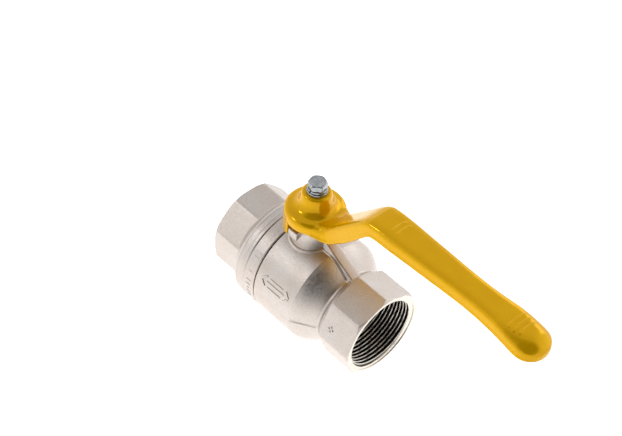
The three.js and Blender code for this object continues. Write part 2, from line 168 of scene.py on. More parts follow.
class ShellSizes(bpy.types.PropertyGroup):
    """Sizes of the body and the end connector"""

    front_face: length("Front face", "Station of the body's face", BODY_HIGH.x)
    rear_face: length("Rear face", "Station of the connector's face", CONNECTOR_LOW.x)
    seam: length("Seam", "Station where body and connector meet", CONNECTOR_HIGH.x + 0.3)
    flats: length("Across flats", "Width of the octagonal ends", 53)
    barrel_radius: length("Barrel radius", "Radius of the body round the ball", 33.4)
    ring_radius: length("Ring radius", "Radius of the connector's ring", 33.6)
    thread_minor: length("Thread minor radius", "Radius over the thread crests", 22.45)
    thread_major: length("Thread major radius", "Radius in the thread roots", 23.9)
    thread_pitch: length("Thread pitch", "Eleven threads to the inch", 2.309)
    thread_length: length("Thread length", "Depth of the threaded socket", 22)
    mouth_radius: length("Mouth radius", "Radius of the countersink at the face", 25.0)
    bore_radius: length("Bore radius", "Radius of the flow way", 20)
    bonnet_radius: length("Bonnet radius", "Radius of the stem housing", 12.6)
    bonnet_top: length("Bonnet top", "Height of the bonnet's rim over the bore", 44.8)
    mark_height: length("Mark height", "How far the cast marks stand proud", 0.42)
    ring_ticks: bpy.props.IntProperty(
        name="Ring ticks", description="Raised ticks round the connector's ring", default=64, min=8
    )


class LeverSizes(bpy.types.PropertyGroup):
    """Sizes of the lever"""

    top: length("Arm top", "Height of the arm's upper side", LEVER_HIGH.z - 0.4)
    hub_radius: length("Hub radius", "Radius of the round end", 17.9)
    hub_base: length("Hub base", "Height of the hub's underside", 48.6)
    hub_top: length("Hub top", "Height of the hub's upper side", 56.6)
    boss_top: length("Boss top", "Height of the bolt's seat", 67.5)
    grain: length("Casting detail", "Size of the finest cast detail", 0.45)


class FastenerSizes(bpy.types.PropertyGroup):
    """Sizes of the bolt and the gland nut"""

    bolt_flats: length("Bolt across flats", "Width of the bolt's head", 10)
    head_base: length("Head base", "Height of the underside of the head", 70.8)
    head_top: length("Head top", "Height of the top of the head", BOLT_HIGH.z)
    bolt_radius: length("Bolt radius", "Radius of the bolt's shank", 2.95)
    bolt_pitch: length("Bolt pitch", "Pitch of the bolt's thread", 1)
    gland_flats: length("Gland nut across flats", "Width of the gland nut", 20)


class FinishColours(bpy.types.PropertyGroup):
    """Base colours of the finishes and the floor"""

    nickel: colour("Nickel plate", "Blasted and plated brass", 0.60, 0.548, 0.512)
    machined: colour("Machined nickel", "Turned faces and threads", 0.69, 0.65, 0.59)
    chrome: colour("Chrome plate", "Polished ball", 0.62, 0.63, 0.64)
    brass: colour("Brass", "Stem and gland nut", 0.62, 0.44, 0.18)
    zinc: colour("Zinc plate", "Bolt and washers", 0.40, 0.42, 0.43)
    coat: colour("Yellow coat", "Stoved paint on the lever", 0.79, 0.428, 0.0)
    seal: colour("White seal", "Seats and packings", 0.83, 0.82, 0.78)
    rubber: colour("Black rubber", "O-rings", 0.018, 0.018, 0.019)
    floor: colour("Floor", "Studio floor", 0.86, 0.86, 0.86)


class StudioSettings(bpy.types.PropertyGroup):
    """The camera and the light"""

    azimuth: bpy.props.FloatProperty(
        name="Azimuth",
        description="Camera's turn about the vertical",
        default=math.radians(43.19),
        subtype="ANGLE",
    )
    elevation: bpy.props.FloatProperty(
        name="Elevation",
        description="Camera's height over the horizon",
        default=math.radians(45.605),
        subtype="ANGLE",
    )
    roll: bpy.props.FloatProperty(
        name="Roll",
        description="Camera's turn about its own axis",
        default=math.radians(5.495),
        subtype="ANGLE",
    )
    distance: length("Distance", "From the aim to the camera", 880.344)
    aim: bpy.props.FloatVectorProperty(
        name="Aim",
        description="Point that the camera looks at",
        default=(-0.01694, 0.01524, 0.02223),
        subtype="XYZ",
        unit="LENGTH",
    )
    lens: bpy.props.FloatProperty(
        name="Lens", description="Focal length in millimetres", default=86.817, min=1
    )
    surround: bpy.props.FloatProperty(
        name="Surround",
        description="Brightness of the surround at the horizon",
        default=1.15,
        min=0,
    )
    overhead: bpy.props.FloatProperty(
        name="Overhead",
        description="Brightness of the surround overhead",
        default=0.68,
        min=0,
    )
    shade: bpy.props.FloatProperty(
        name="Shade",
        description="Share of light from the unlit front corner",
        default=0.06,
        min=0,
    )
    # Strength of the floor's painted glow under the valve.
    glow: bpy.props.FloatProperty(
        name="Floor glow",
        description="Light from the translucent floor under the valve",
        default=1.15,
        min=0,
    )


SETTINGS = {
    "valve_shell": ShellSizes,
    "valve_lever": LeverSizes,
    "valve_fasteners": FastenerSizes,
    "valve_colours": FinishColours,
    "valve_studio": StudioSettings,
}


class Sizes:
    """The lengths of a property group, read in millimetres."""

    def __init__(self, group):
        self.group = group

    def __getattr__(self, name):
        return getattr(self.group, name) / MM


# Meshes: points are worked out in millimetres and stored in metres


def mesh_object(name, points, faces, materials, slots=None):
    """A new object from points in millimetres, with its faces turned outwards."""
    mesh = bpy.data.meshes.new(name)
    corners = (np.asarray(points, float) * MM).tolist()
    mesh.from_pydata(corners, [], [list(map(int, face)) for face in faces])
    for material in materials:
        mesh.materials.append(material)
    if slots is not None:
        mesh.polygons.foreach_set("material_index", np.asarray(slots, np.int32))
    obj = bpy.data.objects.new(name, mesh)
    bpy.context.scene.collection.objects.link(obj)
    tidy_mesh(obj)
    return obj


def tidy_mesh(obj):
    """Joins points that coincide and turns every face outwards."""
    work = bmesh.new()
    work.from_mesh(obj.data)
    bmesh.ops.remove_doubles(work, verts=work.verts, dist=MERGE)
    bmesh.ops.recalc_face_normals(work, faces=work.faces)
    work.to_mesh(obj.data)
    work.free()


def shade(obj, angle=38):
    """Smooth shading, with edges sharper than the angle kept crisp."""
    work = bmesh.new()
    work.from_mesh(obj.data)
    for face in work.faces:
        face.smooth = True
    limit = math.radians(angle)
    for edge in work.edges:
        edge.smooth = len(edge.link_faces) == 2 and edge.calc_face_angle(0) < limit
    work.to_mesh(obj.data)
    work.free()


def applied(obj):
    """Turns an object's modifiers into its plain mesh."""
    graph = bpy.context.evaluated_depsgraph_get()
    graph.update()
    mesh = bpy.data.meshes.new_from_object(obj.evaluated_get(graph))
    obj.modifiers.clear()
    old = obj.data
    obj.data = mesh
    bpy.data.meshes.remove(old)
    return obj


def combined(target, tool, operation):
    """The target joined with, or cut by, the tool, which is used up."""
    modifier = target.modifiers.new(operation, "BOOLEAN")
    modifier.operation = operation
    modifier.solver = "MANIFOLD"
    modifier.object = tool
    before = len(target.data.vertices)
    applied(target)
    if len(target.data.vertices) == before:
        raise RuntimeError(f"{tool.name} did not change {target.name}")
    bpy.data.objects.remove(tool)
    return target


def softened(obj, width, segments=2):
    """Rounds an object's hard edges."""
    modifier = obj.modifiers.new("Bevel", "BEVEL")
    modifier.width = width * MM
    modifier.segments = segments
    modifier.limit_method = "ANGLE"
    modifier.angle_limit = math.radians(30)
    return applied(obj)


def finished(obj, body, slot, *nodes, angle=38):
    """Shades a piece and puts it on its body in place of its frame nodes."""
    shade(obj, angle)
    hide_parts(*nodes)
    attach(obj, body)
    return obj


def loft(rings, closed):
    """Points and quads through equal rings; open ends are closed with one face each."""
    rings = np.asarray(rings, float)
    count, around = rings.shape[:2]
    rows = np.arange(count if closed else count - 1)[:, None]
    columns = np.arange(around)[None, :]
    following = (columns + 1) % around
    above = (rows + 1) % count
    quads = np.stack(
        np.broadcast_arrays(
            rows * around + columns,
            rows * around + following,
            above * around + following,
            above * around + columns,
        ),
        -1,
    ).reshape(-1, 4)
    faces = quads.tolist()
    if not closed:
        faces.append(list(range(around)))
        faces.append(list(range((count - 1) * around, count * around)))
    return rings.reshape(-1, 3), faces


def rounded(profile, radius, steps=2):
    """A closed profile with its corners rounded, each by no more than its edges allow."""
    corners = [Vector(point) for point in profile]
    result = []
    for index, corner in enumerate(corners):
        back = corners[index - 1] - corner
        ahead = corners[(index + 1) % len(corners)] - corner
        reach = min(radius, back.length * 0.45, ahead.length * 0.45)
        start = corner + back.normalized() * reach
        end = corner + ahead.normalized() * reach
        for step in range(steps + 1):
            part = step / steps
            result.append(tuple(start.lerp(corner, part).lerp(corner.lerp(end, part), part)))
    return result


def turned_rings(outline, axis, steps):
    """A ring of points about the bore (X) or the stem (Z) for each (station, radius) pair."""
    angles = np.arange(steps) * TAU / steps
    rings = []
    for station, distance in outline:
        across, up = distance * np.cos(angles), distance * np.sin(angles)
        along = np.full(steps, station)
        columns = (along, across, up) if axis == "X" else (across, up, along)
        rings.append(np.stack(columns, -1))
    return rings


def turned(name, profile, materials, axis="X", steps=96, radius=0.25):
    """A ring turned from a closed profile of (station, radius) pairs, with rounded corners."""
    outline = rounded(profile, radius) if radius else profile
    return mesh_object(name, *loft(turned_rings(outline, axis, steps), True), materials)


def turned_solid(name, profile, materials, steps=96, slot=0):
    """A solid about the stem from an open profile of (height, radius) pairs, capped at its ends."""
    points, faces = loft(turned_rings(profile, "Z", steps), False)
    return mesh_object(name, points, faces, materials, np.full(len(faces), slot))


def block(name, low, high, materials):
    """A box between two corners."""
    (x0, y0, z0), (x1, y1, z1) = low, high
    base = [(x0, y0, z0), (x1, y0, z0), (x1, y1, z0), (x0, y1, z0)]
    top = [(x, y, z1) for x, y, _ in base]
    return mesh_object(name, *loft([base, top], False), materials)


def sector(name, inner, outer, start, end, base, top, materials, steps=10):
    """A sector of a ring about the stem, between two angles in degrees."""
    angles = np.radians(np.linspace(start, end, steps))
    rings = [
        [
            (distance * math.cos(angle), distance * math.sin(angle), height)
            for distance, height in ((inner, base), (outer, base), (outer, top), (inner, top))
        ]
        for angle in angles
    ]
    return mesh_object(name, *loft(rings, False), materials)


def clamped(value):
    """A value kept between nought and one."""
    return min(max(value, 0), 1)


def polygon_radius(flats, sides, angles, turn, sharpness):
    """Distance from the axis to a polygon with slightly rounded corners."""
    half = TAU / sides / 2
    offset = (angles - turn) % (2 * half) - half
    near = flats / 2 / np.cos(offset)
    far = flats / 2 / np.cos(2 * half - np.abs(offset))
    return soft_least(near, far, sharpness)


def soft_least(first, second, sharpness):
    """The smaller of two distances, rounded where they are about equal."""
    gap = np.abs(first - second)
    return np.minimum(first, second) - np.log1p(np.exp(-sharpness * gap)) / sharpness


def smooth_through(stations, wanted):
    """A smooth curve through (station, value) pairs, without overshoot, at the wanted stations."""
    x, y = np.array(stations, float).T
    step, rise = np.diff(x), np.diff(y)
    slope = rise / step
    tangent = np.zeros(len(x))
    tangent[0], tangent[-1] = slope[0], slope[-1]
    same = slope[:-1] * slope[1:] > 0
    mean = (step[1:] * slope[:-1] + step[:-1] * slope[1:]) / (step[1:] + step[:-1])
    steepest = 3 * np.minimum(np.abs(slope[:-1]), np.abs(slope[1:]))
    tangent[1:-1] = np.where(same, np.sign(mean) * np.minimum(np.abs(mean), steepest), 0)
    wanted = np.clip(wanted, x[0], x[-1])
    k = np.clip(np.searchsorted(x, wanted) - 1, 0, len(step) - 1)
    t = (wanted - x[k]) / step[k]
    return (
        y[k] * (1 + 2 * t) * (1 - t) ** 2
        + y[k + 1] * t * t * (3 - 2 * t)
        + step[k] * t * (1 - t) * (tangent[k] * (1 - t) - tangent[k + 1] * t)
    )


def curve_at(stations, wanted):
    """The value of a smooth curve through (station, value) pairs at one station."""
    return float(smooth_through(stations, np.array([wanted]))[0])


def bead(station, middle, width, height):
    """Rise of a rounded bead round a turned surface, or of a groove where the height is negative."""
    return height * math.exp(-(((station - middle) / width) ** 2))


# Nodes


class Nodes:
    """Short calls for the nodes of one tree."""

    def __init__(self, tree):
        self.tree = tree

    def node(self, kind, inputs=(), **settings):
        """A new node, with its settings and its inputs as (socket, value) pairs."""
        made = self.tree.nodes.new(kind)
        for key, value in settings.items():
            setattr(made, key, value)
        for socket, value in inputs:
            self.feed(made.inputs[socket], value)
        return made

    def feed(self, socket, value):
        """Links a socket to another node's output, or sets its value."""
        if isinstance(value, bpy.types.NodeSocket):
            self.tree.links.new(value, socket)
        else:
            socket.default_value = value

    def maths(self, operation, first, second=0.0, third=0.0):
        """The result of one sum."""
        inputs = [(0, first), (1, second), (2, third)]
        return self.node("ShaderNodeMath", inputs, operation=operation).outputs[0]

    def ramp(self, value, low, high, start=0.0, end=1.0, interpolation="LINEAR"):
        """A value between low and high, turned into one between start and end."""
        inputs = [
            ("Value", value),
            ("From Min", low),
            ("From Max", high),
            ("To Min", start),
            ("To Max", end),
        ]
        made = self.node("ShaderNodeMapRange", inputs, interpolation_type=interpolation)
        return made.outputs[0]


# Geometry Nodes


class GeometryTree(Nodes):
    """A Geometry Nodes tree with named inputs."""

    def __init__(self, name, inputs):
        super().__init__(bpy.data.node_groups.new(name, "GeometryNodeTree"))
        sockets = self.tree.interface
        sockets.new_socket("Geometry", in_out="OUTPUT", socket_type="NodeSocketGeometry")
        self.identifiers = {}
        for label, kind in inputs.items():
            socket = sockets.new_socket(label, in_out="INPUT", socket_type="NodeSocket" + kind)
            self.identifiers[label] = socket.identifier
        self.given = self.node("NodeGroupInput").outputs

    def vector(self, x=0.0, y=0.0, z=0.0):
        """A vector from three values."""
        return self.node("ShaderNodeCombineXYZ", [(0, x), (1, y), (2, z)]).outputs[0]

    def close(self, geometry, material):
        """Ends the tree in Realize Instances and Set Material."""
        real = self.node("GeometryNodeRealizeInstances", [(0, geometry)]).outputs[0]
        dressed = self.node("GeometryNodeSetMaterial", [("Geometry", real), ("Material", material)])
        output = self.node("NodeGroupOutput")
        self.tree.links.new(dressed.outputs[0], output.inputs[0])
        return self

    def grown(self, name, values):
        """The tree's geometry for these input values, as a plain object."""
        obj = bpy.data.objects.new(name, bpy.data.meshes.new(name))
        bpy.context.scene.collection.objects.link(obj)
        modifier = obj.modifiers.new(self.tree.name, "NODES")
        modifier.node_group = self.tree
        for label, value in values.items():
            modifier[self.identifiers[label]] = value
        return applied(obj)


def thread_tree():
    """A threaded sleeve along X: a screw thread that fades into a plain ring at its inner end."""
    made = GeometryTree(
        "Screw thread",
        {
            "Start": "Float",
            "Direction": "Float",
            "Length": "Float",
            "Pitch": "Float",
            "Plain Radius": "Float",
            "Cut Radius": "Float",
            "Mouth Radius": "Float",
            "Chamfer": "Float",
            "Fade": "Float",
            "Turn": "Float",
            "Crowding": "Float",
            "External": "Bool",
            "Along": "Int",
            "Around": "Int",
            "Material": "Material",
        },
    )
    given, maths = made.given, made.maths
    around = maths("ADD", given["Around"], 1.0)
    grid = made.node(
        "GeometryNodeMeshGrid",
        [("Size X", 1.0), ("Size Y", 1.0), ("Vertices X", given["Along"]), ("Vertices Y", around)],
    )
    place = made.node(
        "ShaderNodeSeparateXYZ", [(0, made.node("GeometryNodeInputPosition").outputs[0])]
    ).outputs
    part = maths("ADD", place[0], 0.5)
    lap = maths("ADD", place[1], 0.5)
    depth = maths("MULTIPLY", part, given["Length"])
    wobble = maths("SINE", maths("MULTIPLY", lap, OCTAGON * TAU))
    crowd = maths("MULTIPLY", maths("DIVIDE", given["Crowding"], float(OCTAGON)), wobble)
    angle = maths("SUBTRACT", maths("MULTIPLY_ADD", lap, TAU, given["Turn"]), crowd)
    turns = maths("ADD", maths("DIVIDE", depth, given["Pitch"]), maths("DIVIDE", angle, TAU))
    saw = maths("FRACT", turns)
    tooth = maths("ABSOLUTE", maths("MULTIPLY_ADD", saw, 2.0, -1.0))
    flank = made.ramp(tooth, FLAT_SHARE, 1 - FLAT_SHARE)
    left = maths("SUBTRACT", given["Length"], depth)
    fade = maths("MINIMUM", maths("DIVIDE", left, given["Fade"]), 1.0)
    reach = maths("SUBTRACT", given["Cut Radius"], given["Plain Radius"])
    cut = maths("MULTIPLY_ADD", maths("MULTIPLY", flank, fade), reach, given["Plain Radius"])
    cone_slope = maths(
        "DIVIDE", maths("SUBTRACT", given["Plain Radius"], given["Mouth Radius"]), given["Chamfer"]
    )
    cone = maths("MULTIPLY_ADD", cone_slope, depth, given["Mouth Radius"])
    internal = maths("MAXIMUM", cut, cone)
    external = maths("MINIMUM", cut, cone)
    radius = made.node(
        "GeometryNodeSwitch",
        [("Switch", given["External"]), ("False", internal), ("True", external)],
        input_type="FLOAT",
    ).outputs[0]
    station = maths("MULTIPLY_ADD", depth, given["Direction"], given["Start"])
    across = maths("MULTIPLY", radius, maths("COSINE", angle))
    up = maths("MULTIPLY", radius, maths("SINE", angle))
    placed = made.node(
        "GeometryNodeSetPosition",
        [("Geometry", grid.outputs[0]), ("Position", made.vector(station, across, up))],
    ).outputs[0]
    return made.close(placed, given["Material"])


def tick_tree():
    """Raised ticks round a ring, some left out and some short, as from a worn die."""
    made = GeometryTree(
        "Ring ticks",
        {
            "Count": "Int",
            "Radius": "Float",
            "Station": "Float",
            "Length": "Float",
            "Width": "Float",
            "Height": "Float",
            "Kept": "Float",
            "Seed": "Int",
            "Material": "Material",
        },
    )
    given, maths = made.given, made.maths
    circle = made.node(
        "GeometryNodeMeshCircle", [("Vertices", given["Count"]), ("Radius", given["Radius"])]
    ).outputs[0]
    spin = made.node("GeometryNodeInputIndex").outputs[0]
    angle = maths("DIVIDE", maths("MULTIPLY", spin, TAU), given["Count"])
    stand = made.vector(
        given["Station"],
        maths("MULTIPLY", given["Radius"], maths("COSINE", angle)),
        maths("MULTIPLY", given["Radius"], maths("SINE", angle)),
    )
    ring = made.node(
        "GeometryNodeSetPosition", [("Geometry", circle), ("Position", stand)]
    ).outputs[0]
    bar = made.node(
        "GeometryNodeMeshCube",
        [("Size", made.vector(given["Length"], given["Height"], given["Width"]))],
    ).outputs[0]
    chance = made.node(
        "FunctionNodeRandomValue",
        [("Probability", given["Kept"]), ("Seed", given["Seed"])],
        data_type="BOOLEAN",
    ).outputs[3]
    stretch = made.node(
        "FunctionNodeRandomValue",
        [("Min", (0.45, 1.0, 0.8)), ("Max", (1.0, 1.0, 1.3)), ("Seed", given["Seed"])],
        data_type="FLOAT_VECTOR",
    ).outputs[0]
    turn = made.node("FunctionNodeEulerToRotation", [(0, made.vector(angle, 0.0, 0.0))]).outputs[0]
    copies = made.node(
        "GeometryNodeInstanceOnPoints",
        [
            ("Points", ring),
            ("Selection", chance),
            ("Instance", bar),
            ("Rotation", turn),
            ("Scale", stretch),
        ],
    ).outputs[0]
    return made.close(copies, given["Material"])


# Materials


class Finish(Nodes):
    """A material being built."""

    def __init__(self, name):
        self.material = bpy.data.materials.new(name)
        self.material.use_nodes = True
        super().__init__(self.material.node_tree)
        self.shader = self.tree.nodes["Principled BSDF"]
        self.place = self.node("ShaderNodeTexCoord").outputs["Object"]

    def stretched(self, scale):
        """Places scaled differently along each axis, which draws a pattern out into lines."""
        inputs = [("Vector", self.place), ("Scale", scale)]
        return self.node("ShaderNodeMapping", inputs).outputs[0]

    def across(self, axes):
        """Distance from the origin, counted along these axes only."""
        split = self.node("ShaderNodeSeparateXYZ", [(0, self.place)]).outputs
        joined = self.node("ShaderNodeCombineXYZ", [(axis, split[axis]) for axis in axes])
        return self.distance(joined.outputs[0])

    def distance(self, place=None):
        """Distance of a place from the origin."""
        inputs = [(0, place or self.place)]
        return self.node("ShaderNodeVectorMath", inputs, operation="LENGTH").outputs["Value"]

    def noise(self, size, detail=3, roughness=0.5, place=None):
        """Cloudy noise with features of about this size in millimetres."""
        inputs = [
            ("Vector", place or self.place),
            ("Scale", 1 / (size * MM)),
            ("Detail", detail),
            ("Roughness", roughness),
        ]
        return self.node("ShaderNodeTexNoise", inputs).outputs["Fac"]

    def cells(self, size, output="Distance"):
        """Cells of about this size in millimetres."""
        inputs = [("Vector", self.place), ("Scale", 1 / (size * MM))]
        return self.node("ShaderNodeTexVoronoi", inputs).outputs[output]

    def mix(self, factor, first, second):
        """A colour between two others."""
        inputs = [
            (0, factor),
            (6, (*first, 1) if isinstance(first, tuple) else first),
            (7, (*second, 1) if isinstance(second, tuple) else second),
        ]
        return self.node("ShaderNodeMix", inputs, data_type="RGBA").outputs[2]

    def bump(self, height, depth, strength=1.0, after=None):
        """Relief of this depth in millimetres, on top of another relief."""
        inputs = [("Height", height), ("Distance", depth * MM), ("Strength", strength)]
        if after is not None:
            inputs.append(("Normal", after))
        return self.node("ShaderNodeBump", inputs).outputs[0]

    def done(self, colour=None, roughness=None, normal=None, **constants):
        """Links the finished patterns to the shader, sets its other values and gives the material."""
        for socket, value in (("Base Color", colour), ("Roughness", roughness), ("Normal", normal)):
            if value is not None:
                self.feed(self.shader.inputs[socket], value)
        for label, value in constants.items():
            self.shader.inputs[label.replace("_", " ")].default_value = value
        return self.material


def shifted(tone, factor, warmth=0.0):
    """A colour made lighter or darker, and warmer or cooler."""
    red, green, blue = tone
    return (
        min(1, red * factor * (1 + warmth)),
        min(1, green * factor),
        min(1, blue * factor * (1 - warmth)),
    )


def nickel_cast(tone):
    """Shot-blasted brass under thin nickel: fine grain, pits, faint warm clouds and a painted
    reflection darkening the rib's top.
    """
    made = Finish("nickel_cast")
    clouds = made.noise(14, 3, 0.55)
    grain = made.noise(0.55, 3, 0.65)
    pits = made.cells(1.5)
    pitted = made.ramp(pits, 0.05, 0.16)
    speckle = made.ramp(grain, 0.36, 0.52)
    warm = made.mix(
        made.ramp(clouds, 0.38, 0.62), shifted(tone, 0.95, 0.035), shifted(tone, 1.03, -0.01)
    )
    spotted = made.mix(speckle, shifted(tone, 0.8, 0.02), warm)
    plated = made.mix(pitted, shifted(tone, 0.62, 0.05), spotted)
    # Painted reflection: the rib's flat top is tinted darker and warmer in place of the lever's yellow
    # underside mirrored there.
    colour = made.mix(painted_rib_reflection(made), plated, shifted(tone, 0.8, 0.09))
    roughness = made.ramp(made.noise(1.1, 2), 0.3, 0.7, 0.34, 0.48)
    relief = made.bump(made.noise(3.2, 3, 0.6), 0.16, 0.6)
    relief = made.bump(grain, 0.13, 0.85, relief)
    relief = made.bump(pitted, 0.05, 0.5, relief)
    return made.done(colour, roughness, relief, Metallic=1.0)


def painted_rib_reflection(made):
    """One on the rib's flat top, where the lever's underside is painted in as a darker, warmer
    reflection, and nought elsewhere.
    """
    x, y, z = made.node("ShaderNodeSeparateXYZ", [(0, made.place)]).outputs
    side = made.maths("ABSOLUTE", y)
    mask = made.ramp(z, 10 * MM, 20 * MM)
    for edge in (
        made.ramp(side, 3.4 * MM, 2.9 * MM),
        made.ramp(x, 12.5 * MM, 16 * MM),
        made.ramp(x, 37.8 * MM, 37.2 * MM),
    ):
        mask = made.maths("MULTIPLY", mask, edge)
    return mask


def nickel_machined(tone):
    """Turned and plated faces: fine tool lines round the bore, smoother than the casting."""
    made = Finish("nickel_machined")
    lines = made.noise(0.18, 2, 0.6, made.stretched((1, 0.12, 0.12)))
    clouds = made.noise(6, 2)
    colour = made.mix(made.ramp(clouds, 0.3, 0.7), shifted(tone, 0.92, 0.03), shifted(tone, 1.04))
    roughness = made.ramp(lines, 0.3, 0.7, 0.20, 0.32)
    relief = made.bump(lines, 0.012, 0.7)
    return made.done(colour, roughness, relief, Metallic=1.0)


def nickel_thread(tone):
    """A cut thread: bright crests, and roots painted nearly black as the shade deep in the thread."""
    made = Finish("nickel_thread")
    # Painted shade: beyond the crests' radius the roots are coloured nearly black, with a faint mottle
    # in that darkness.
    root = made.ramp(made.across((1, 2)), 22.6 * MM, 23.1 * MM)
    shade_mottle = made.ramp(made.noise(4, 3), 0.3, 0.7)
    painted_root_shade = made.mix(shade_mottle, shifted(tone, 0.05, 0.15), shifted(tone, 0.1, 0.1))
    colour = made.mix(root, shifted(tone, 1.0), painted_root_shade)
    roughness = made.ramp(made.noise(0.8, 2), 0.3, 0.7, 0.2, 0.34)
    relief = made.bump(made.noise(0.6, 2), 0.01, 0.5)
    return made.done(colour, roughness, relief, Metallic=1.0)


def polished_chrome(tone):
    """Polished chrome with hairline scratches round the ball."""
    made = Finish("polished_chrome")
    hairs = made.noise(0.3, 2, 0.6, made.stretched((1, 0.05, 0.05)))
    colour = made.mix(made.ramp(made.noise(9, 2), 0.3, 0.7), shifted(tone, 0.94), tone)
    roughness = made.ramp(hairs, 0.35, 0.65, 0.09, 0.17)
    return made.done(colour, roughness, made.bump(hairs, 0.004, 0.6), Metallic=1.0)


def turned_brass(tone):
    """Bare turned brass with tool lines round the stem and a slight tarnish."""
    made = Finish("turned_brass")
    lines = made.noise(0.2, 2, 0.6, made.stretched((0.1, 0.1, 1)))
    tarnish = made.ramp(made.noise(5, 4, 0.6), 0.4, 0.68)
    colour = made.mix(tarnish, tone, shifted(tone, 0.72, 0.06))
    roughness = made.ramp(lines, 0.3, 0.7, 0.24, 0.4)
    return made.done(colour, roughness, made.bump(lines, 0.015, 0.7), Metallic=1.0)


def mottled_zinc(tone):
    """Bright zinc with mottled crystals and dull patches."""
    made = Finish("mottled_zinc")
    crystals = made.cells(1.1, "Color")
    mottle = made.node("ShaderNodeSeparateColor", [(0, crystals)]).outputs[0]
    clouds = made.noise(1.6, 4, 0.6)
    patch = made.mix(made.ramp(clouds, 0.35, 0.65), shifted(tone, 0.7, -0.02), shifted(tone, 1.15))
    colour = made.mix(made.ramp(mottle, 0, 1, 0, 0.35), patch, shifted(tone, 0.8))
    roughness = made.ramp(clouds, 0.3, 0.7, 0.18, 0.36)
    relief = made.bump(made.noise(0.5, 2), 0.02, 0.7)
    return made.done(colour, roughness, relief, Metallic=1.0)


def stoved_paint(tone):
    """Stoved gloss paint with a slight orange peel and fine, darker specks."""
    made = Finish("stoved_paint")
    clouds = made.noise(11, 3, 0.55)
    speck = made.ramp(made.noise(0.8, 2), 0.3, 0.6)
    even = made.mix(
        made.ramp(clouds, 0.35, 0.65), shifted(tone, 0.95, 0.02), shifted(tone, 1.04, -0.01)
    )
    colour = made.mix(speck, shifted(tone, 0.93, 0.02), even)
    roughness = made.ramp(made.noise(3, 2), 0.3, 0.7, 0.10, 0.18)
    relief = made.bump(made.noise(1.9, 2, 0.4), 0.03, 0.5)
    return made.done(
        colour,
        roughness,
        relief,
        Metallic=0.36,
        Specular_IOR_Level=0.08,
        Coat_Weight=0.12,
        Coat_Roughness=0.04,
    )


def white_seal(tone):
    """Pressed and turned seal plastic: waxy, with faint tool lines."""
    made = Finish("white_seal")
    lines = made.noise(0.25, 2, 0.5, made.stretched((1, 0.15, 0.15)))
    colour = made.mix(made.ramp(made.noise(3, 3), 0.35, 0.65), tone, shifted(tone, 0.94, 0.01))
    roughness = made.ramp(lines, 0.3, 0.7, 0.42, 0.55)
    return made.done(colour, roughness, made.bump(lines, 0.015, 0.5), Metallic=0.0)


def moulded_rubber(tone):
    """Moulded rubber: matt, with a fine bloom."""
    made = Finish("moulded_rubber")
    bloom = made.noise(1.2, 4, 0.6)
    colour = made.mix(made.ramp(bloom, 0.4, 0.7), tone, shifted(tone, 1.8))
    roughness = made.ramp(bloom, 0.3, 0.7, 0.55, 0.75)
    return made.done(colour, roughness, made.bump(made.noise(0.15, 2), 0.01, 0.6), Metallic=0.0)


FINISHES = {
    "nickel_cast": (nickel_cast, "nickel"),
    "nickel_machined": (nickel_machined, "machined"),
    "nickel_thread": (nickel_thread, "machined"),
    "polished_chrome": (polished_chrome, "chrome"),
    "turned_brass": (turned_brass, "brass"),
    "mottled_zinc": (mottled_zinc, "zinc"),
    "stoved_paint": (stoved_paint, "coat"),
    "white_seal": (white_seal, "seal"),
    "moulded_rubber": (moulded_rubber, "rubber"),
}


def material(name):
    """A finish, built the first time it is asked for."""
    if name not in bpy.data.materials:
        maker, tone = FINISHES[name]
        maker(tuple(getattr(bpy.context.scene.valve_colours, tone)))
    return bpy.data.materials[name]


# Shell


def shell_finishes():
    """Cast skin, turned faces and cut threads, in the order of their material slots."""
    return [material(name) for name in ("nickel_cast", "nickel_machined", "nickel_thread")]


def crowded_angles(turn):
    """Angles round the bore, closer together at the octagon's corners."""
    lap = np.arange(AROUND) / AROUND
    return TAU * lap - CROWDING / OCTAGON * np.sin(OCTAGON * TAU * lap) + turn


def ring_at(station, radii, angles):
    """Points round the bore at one station."""
    radii = np.broadcast_to(radii, angles.shape)
    along = np.full(angles.shape, float(station))
    return np.stack([along, radii * np.cos(angles), radii * np.sin(angles)], -1)


def octagon_radius(sizes, angles, turn, station, face, collar=None):
    """An octagonal end with soft corners, turned off at its face and, if it has one, its collar."""
    corner = sizes.flats / 2 / math.cos(TAU / OCTAGON / 2)
    slope = (corner - FACE_RADIUS) / FACE_CHAMFER
    limit = min(FACE_RADIUS + slope * abs(face - station), corner + 0.6)
    if collar is not None:
        limit = min(limit, COLLAR_RADIUS + 2.4 * abs(station - collar))
    return soft_least(polygon_radius(sizes.flats, OCTAGON, angles, turn, 3.2), limit, 7)


def spread(*parts):
    """Stations from (start, end, count) runs, each without its last one."""
    runs = [np.linspace(start, end, count, endpoint=False) for start, end, count in parts]
    return np.concatenate(runs)


def body_radius(sizes, station, angles):
    """The body's outer radius at one station."""
    collar = sizes.front_face - BODY_OCTAGON
    if station < TAPER_START:
        rounding, drop = 0.7, 0.9
        edge = 1 - min(station - sizes.seam, rounding) / rounding
        radius = sizes.barrel_radius - drop * (1 - math.sqrt(1 - edge**2))
        radii = np.full(angles.shape, radius)
    elif station < TAPER_END:
        radii = np.full(angles.shape, curve_at(TAPER, station))
    elif station < collar:
        neck = (TAPER[-1], (34, 24.45), (35.2, 25.0), (36.9, 26.25), (collar, 26.35))
        radii = np.full(angles.shape, curve_at(neck, station))
    else:
        radii = octagon_radius(sizes, angles, 0, station, sizes.front_face, collar)
    radii = radii + bead(station, collar, 0.28, -0.3)
    if station < collar:
        radii = radii + parting_line(sizes, station, angles, radii, collar)
    return radii


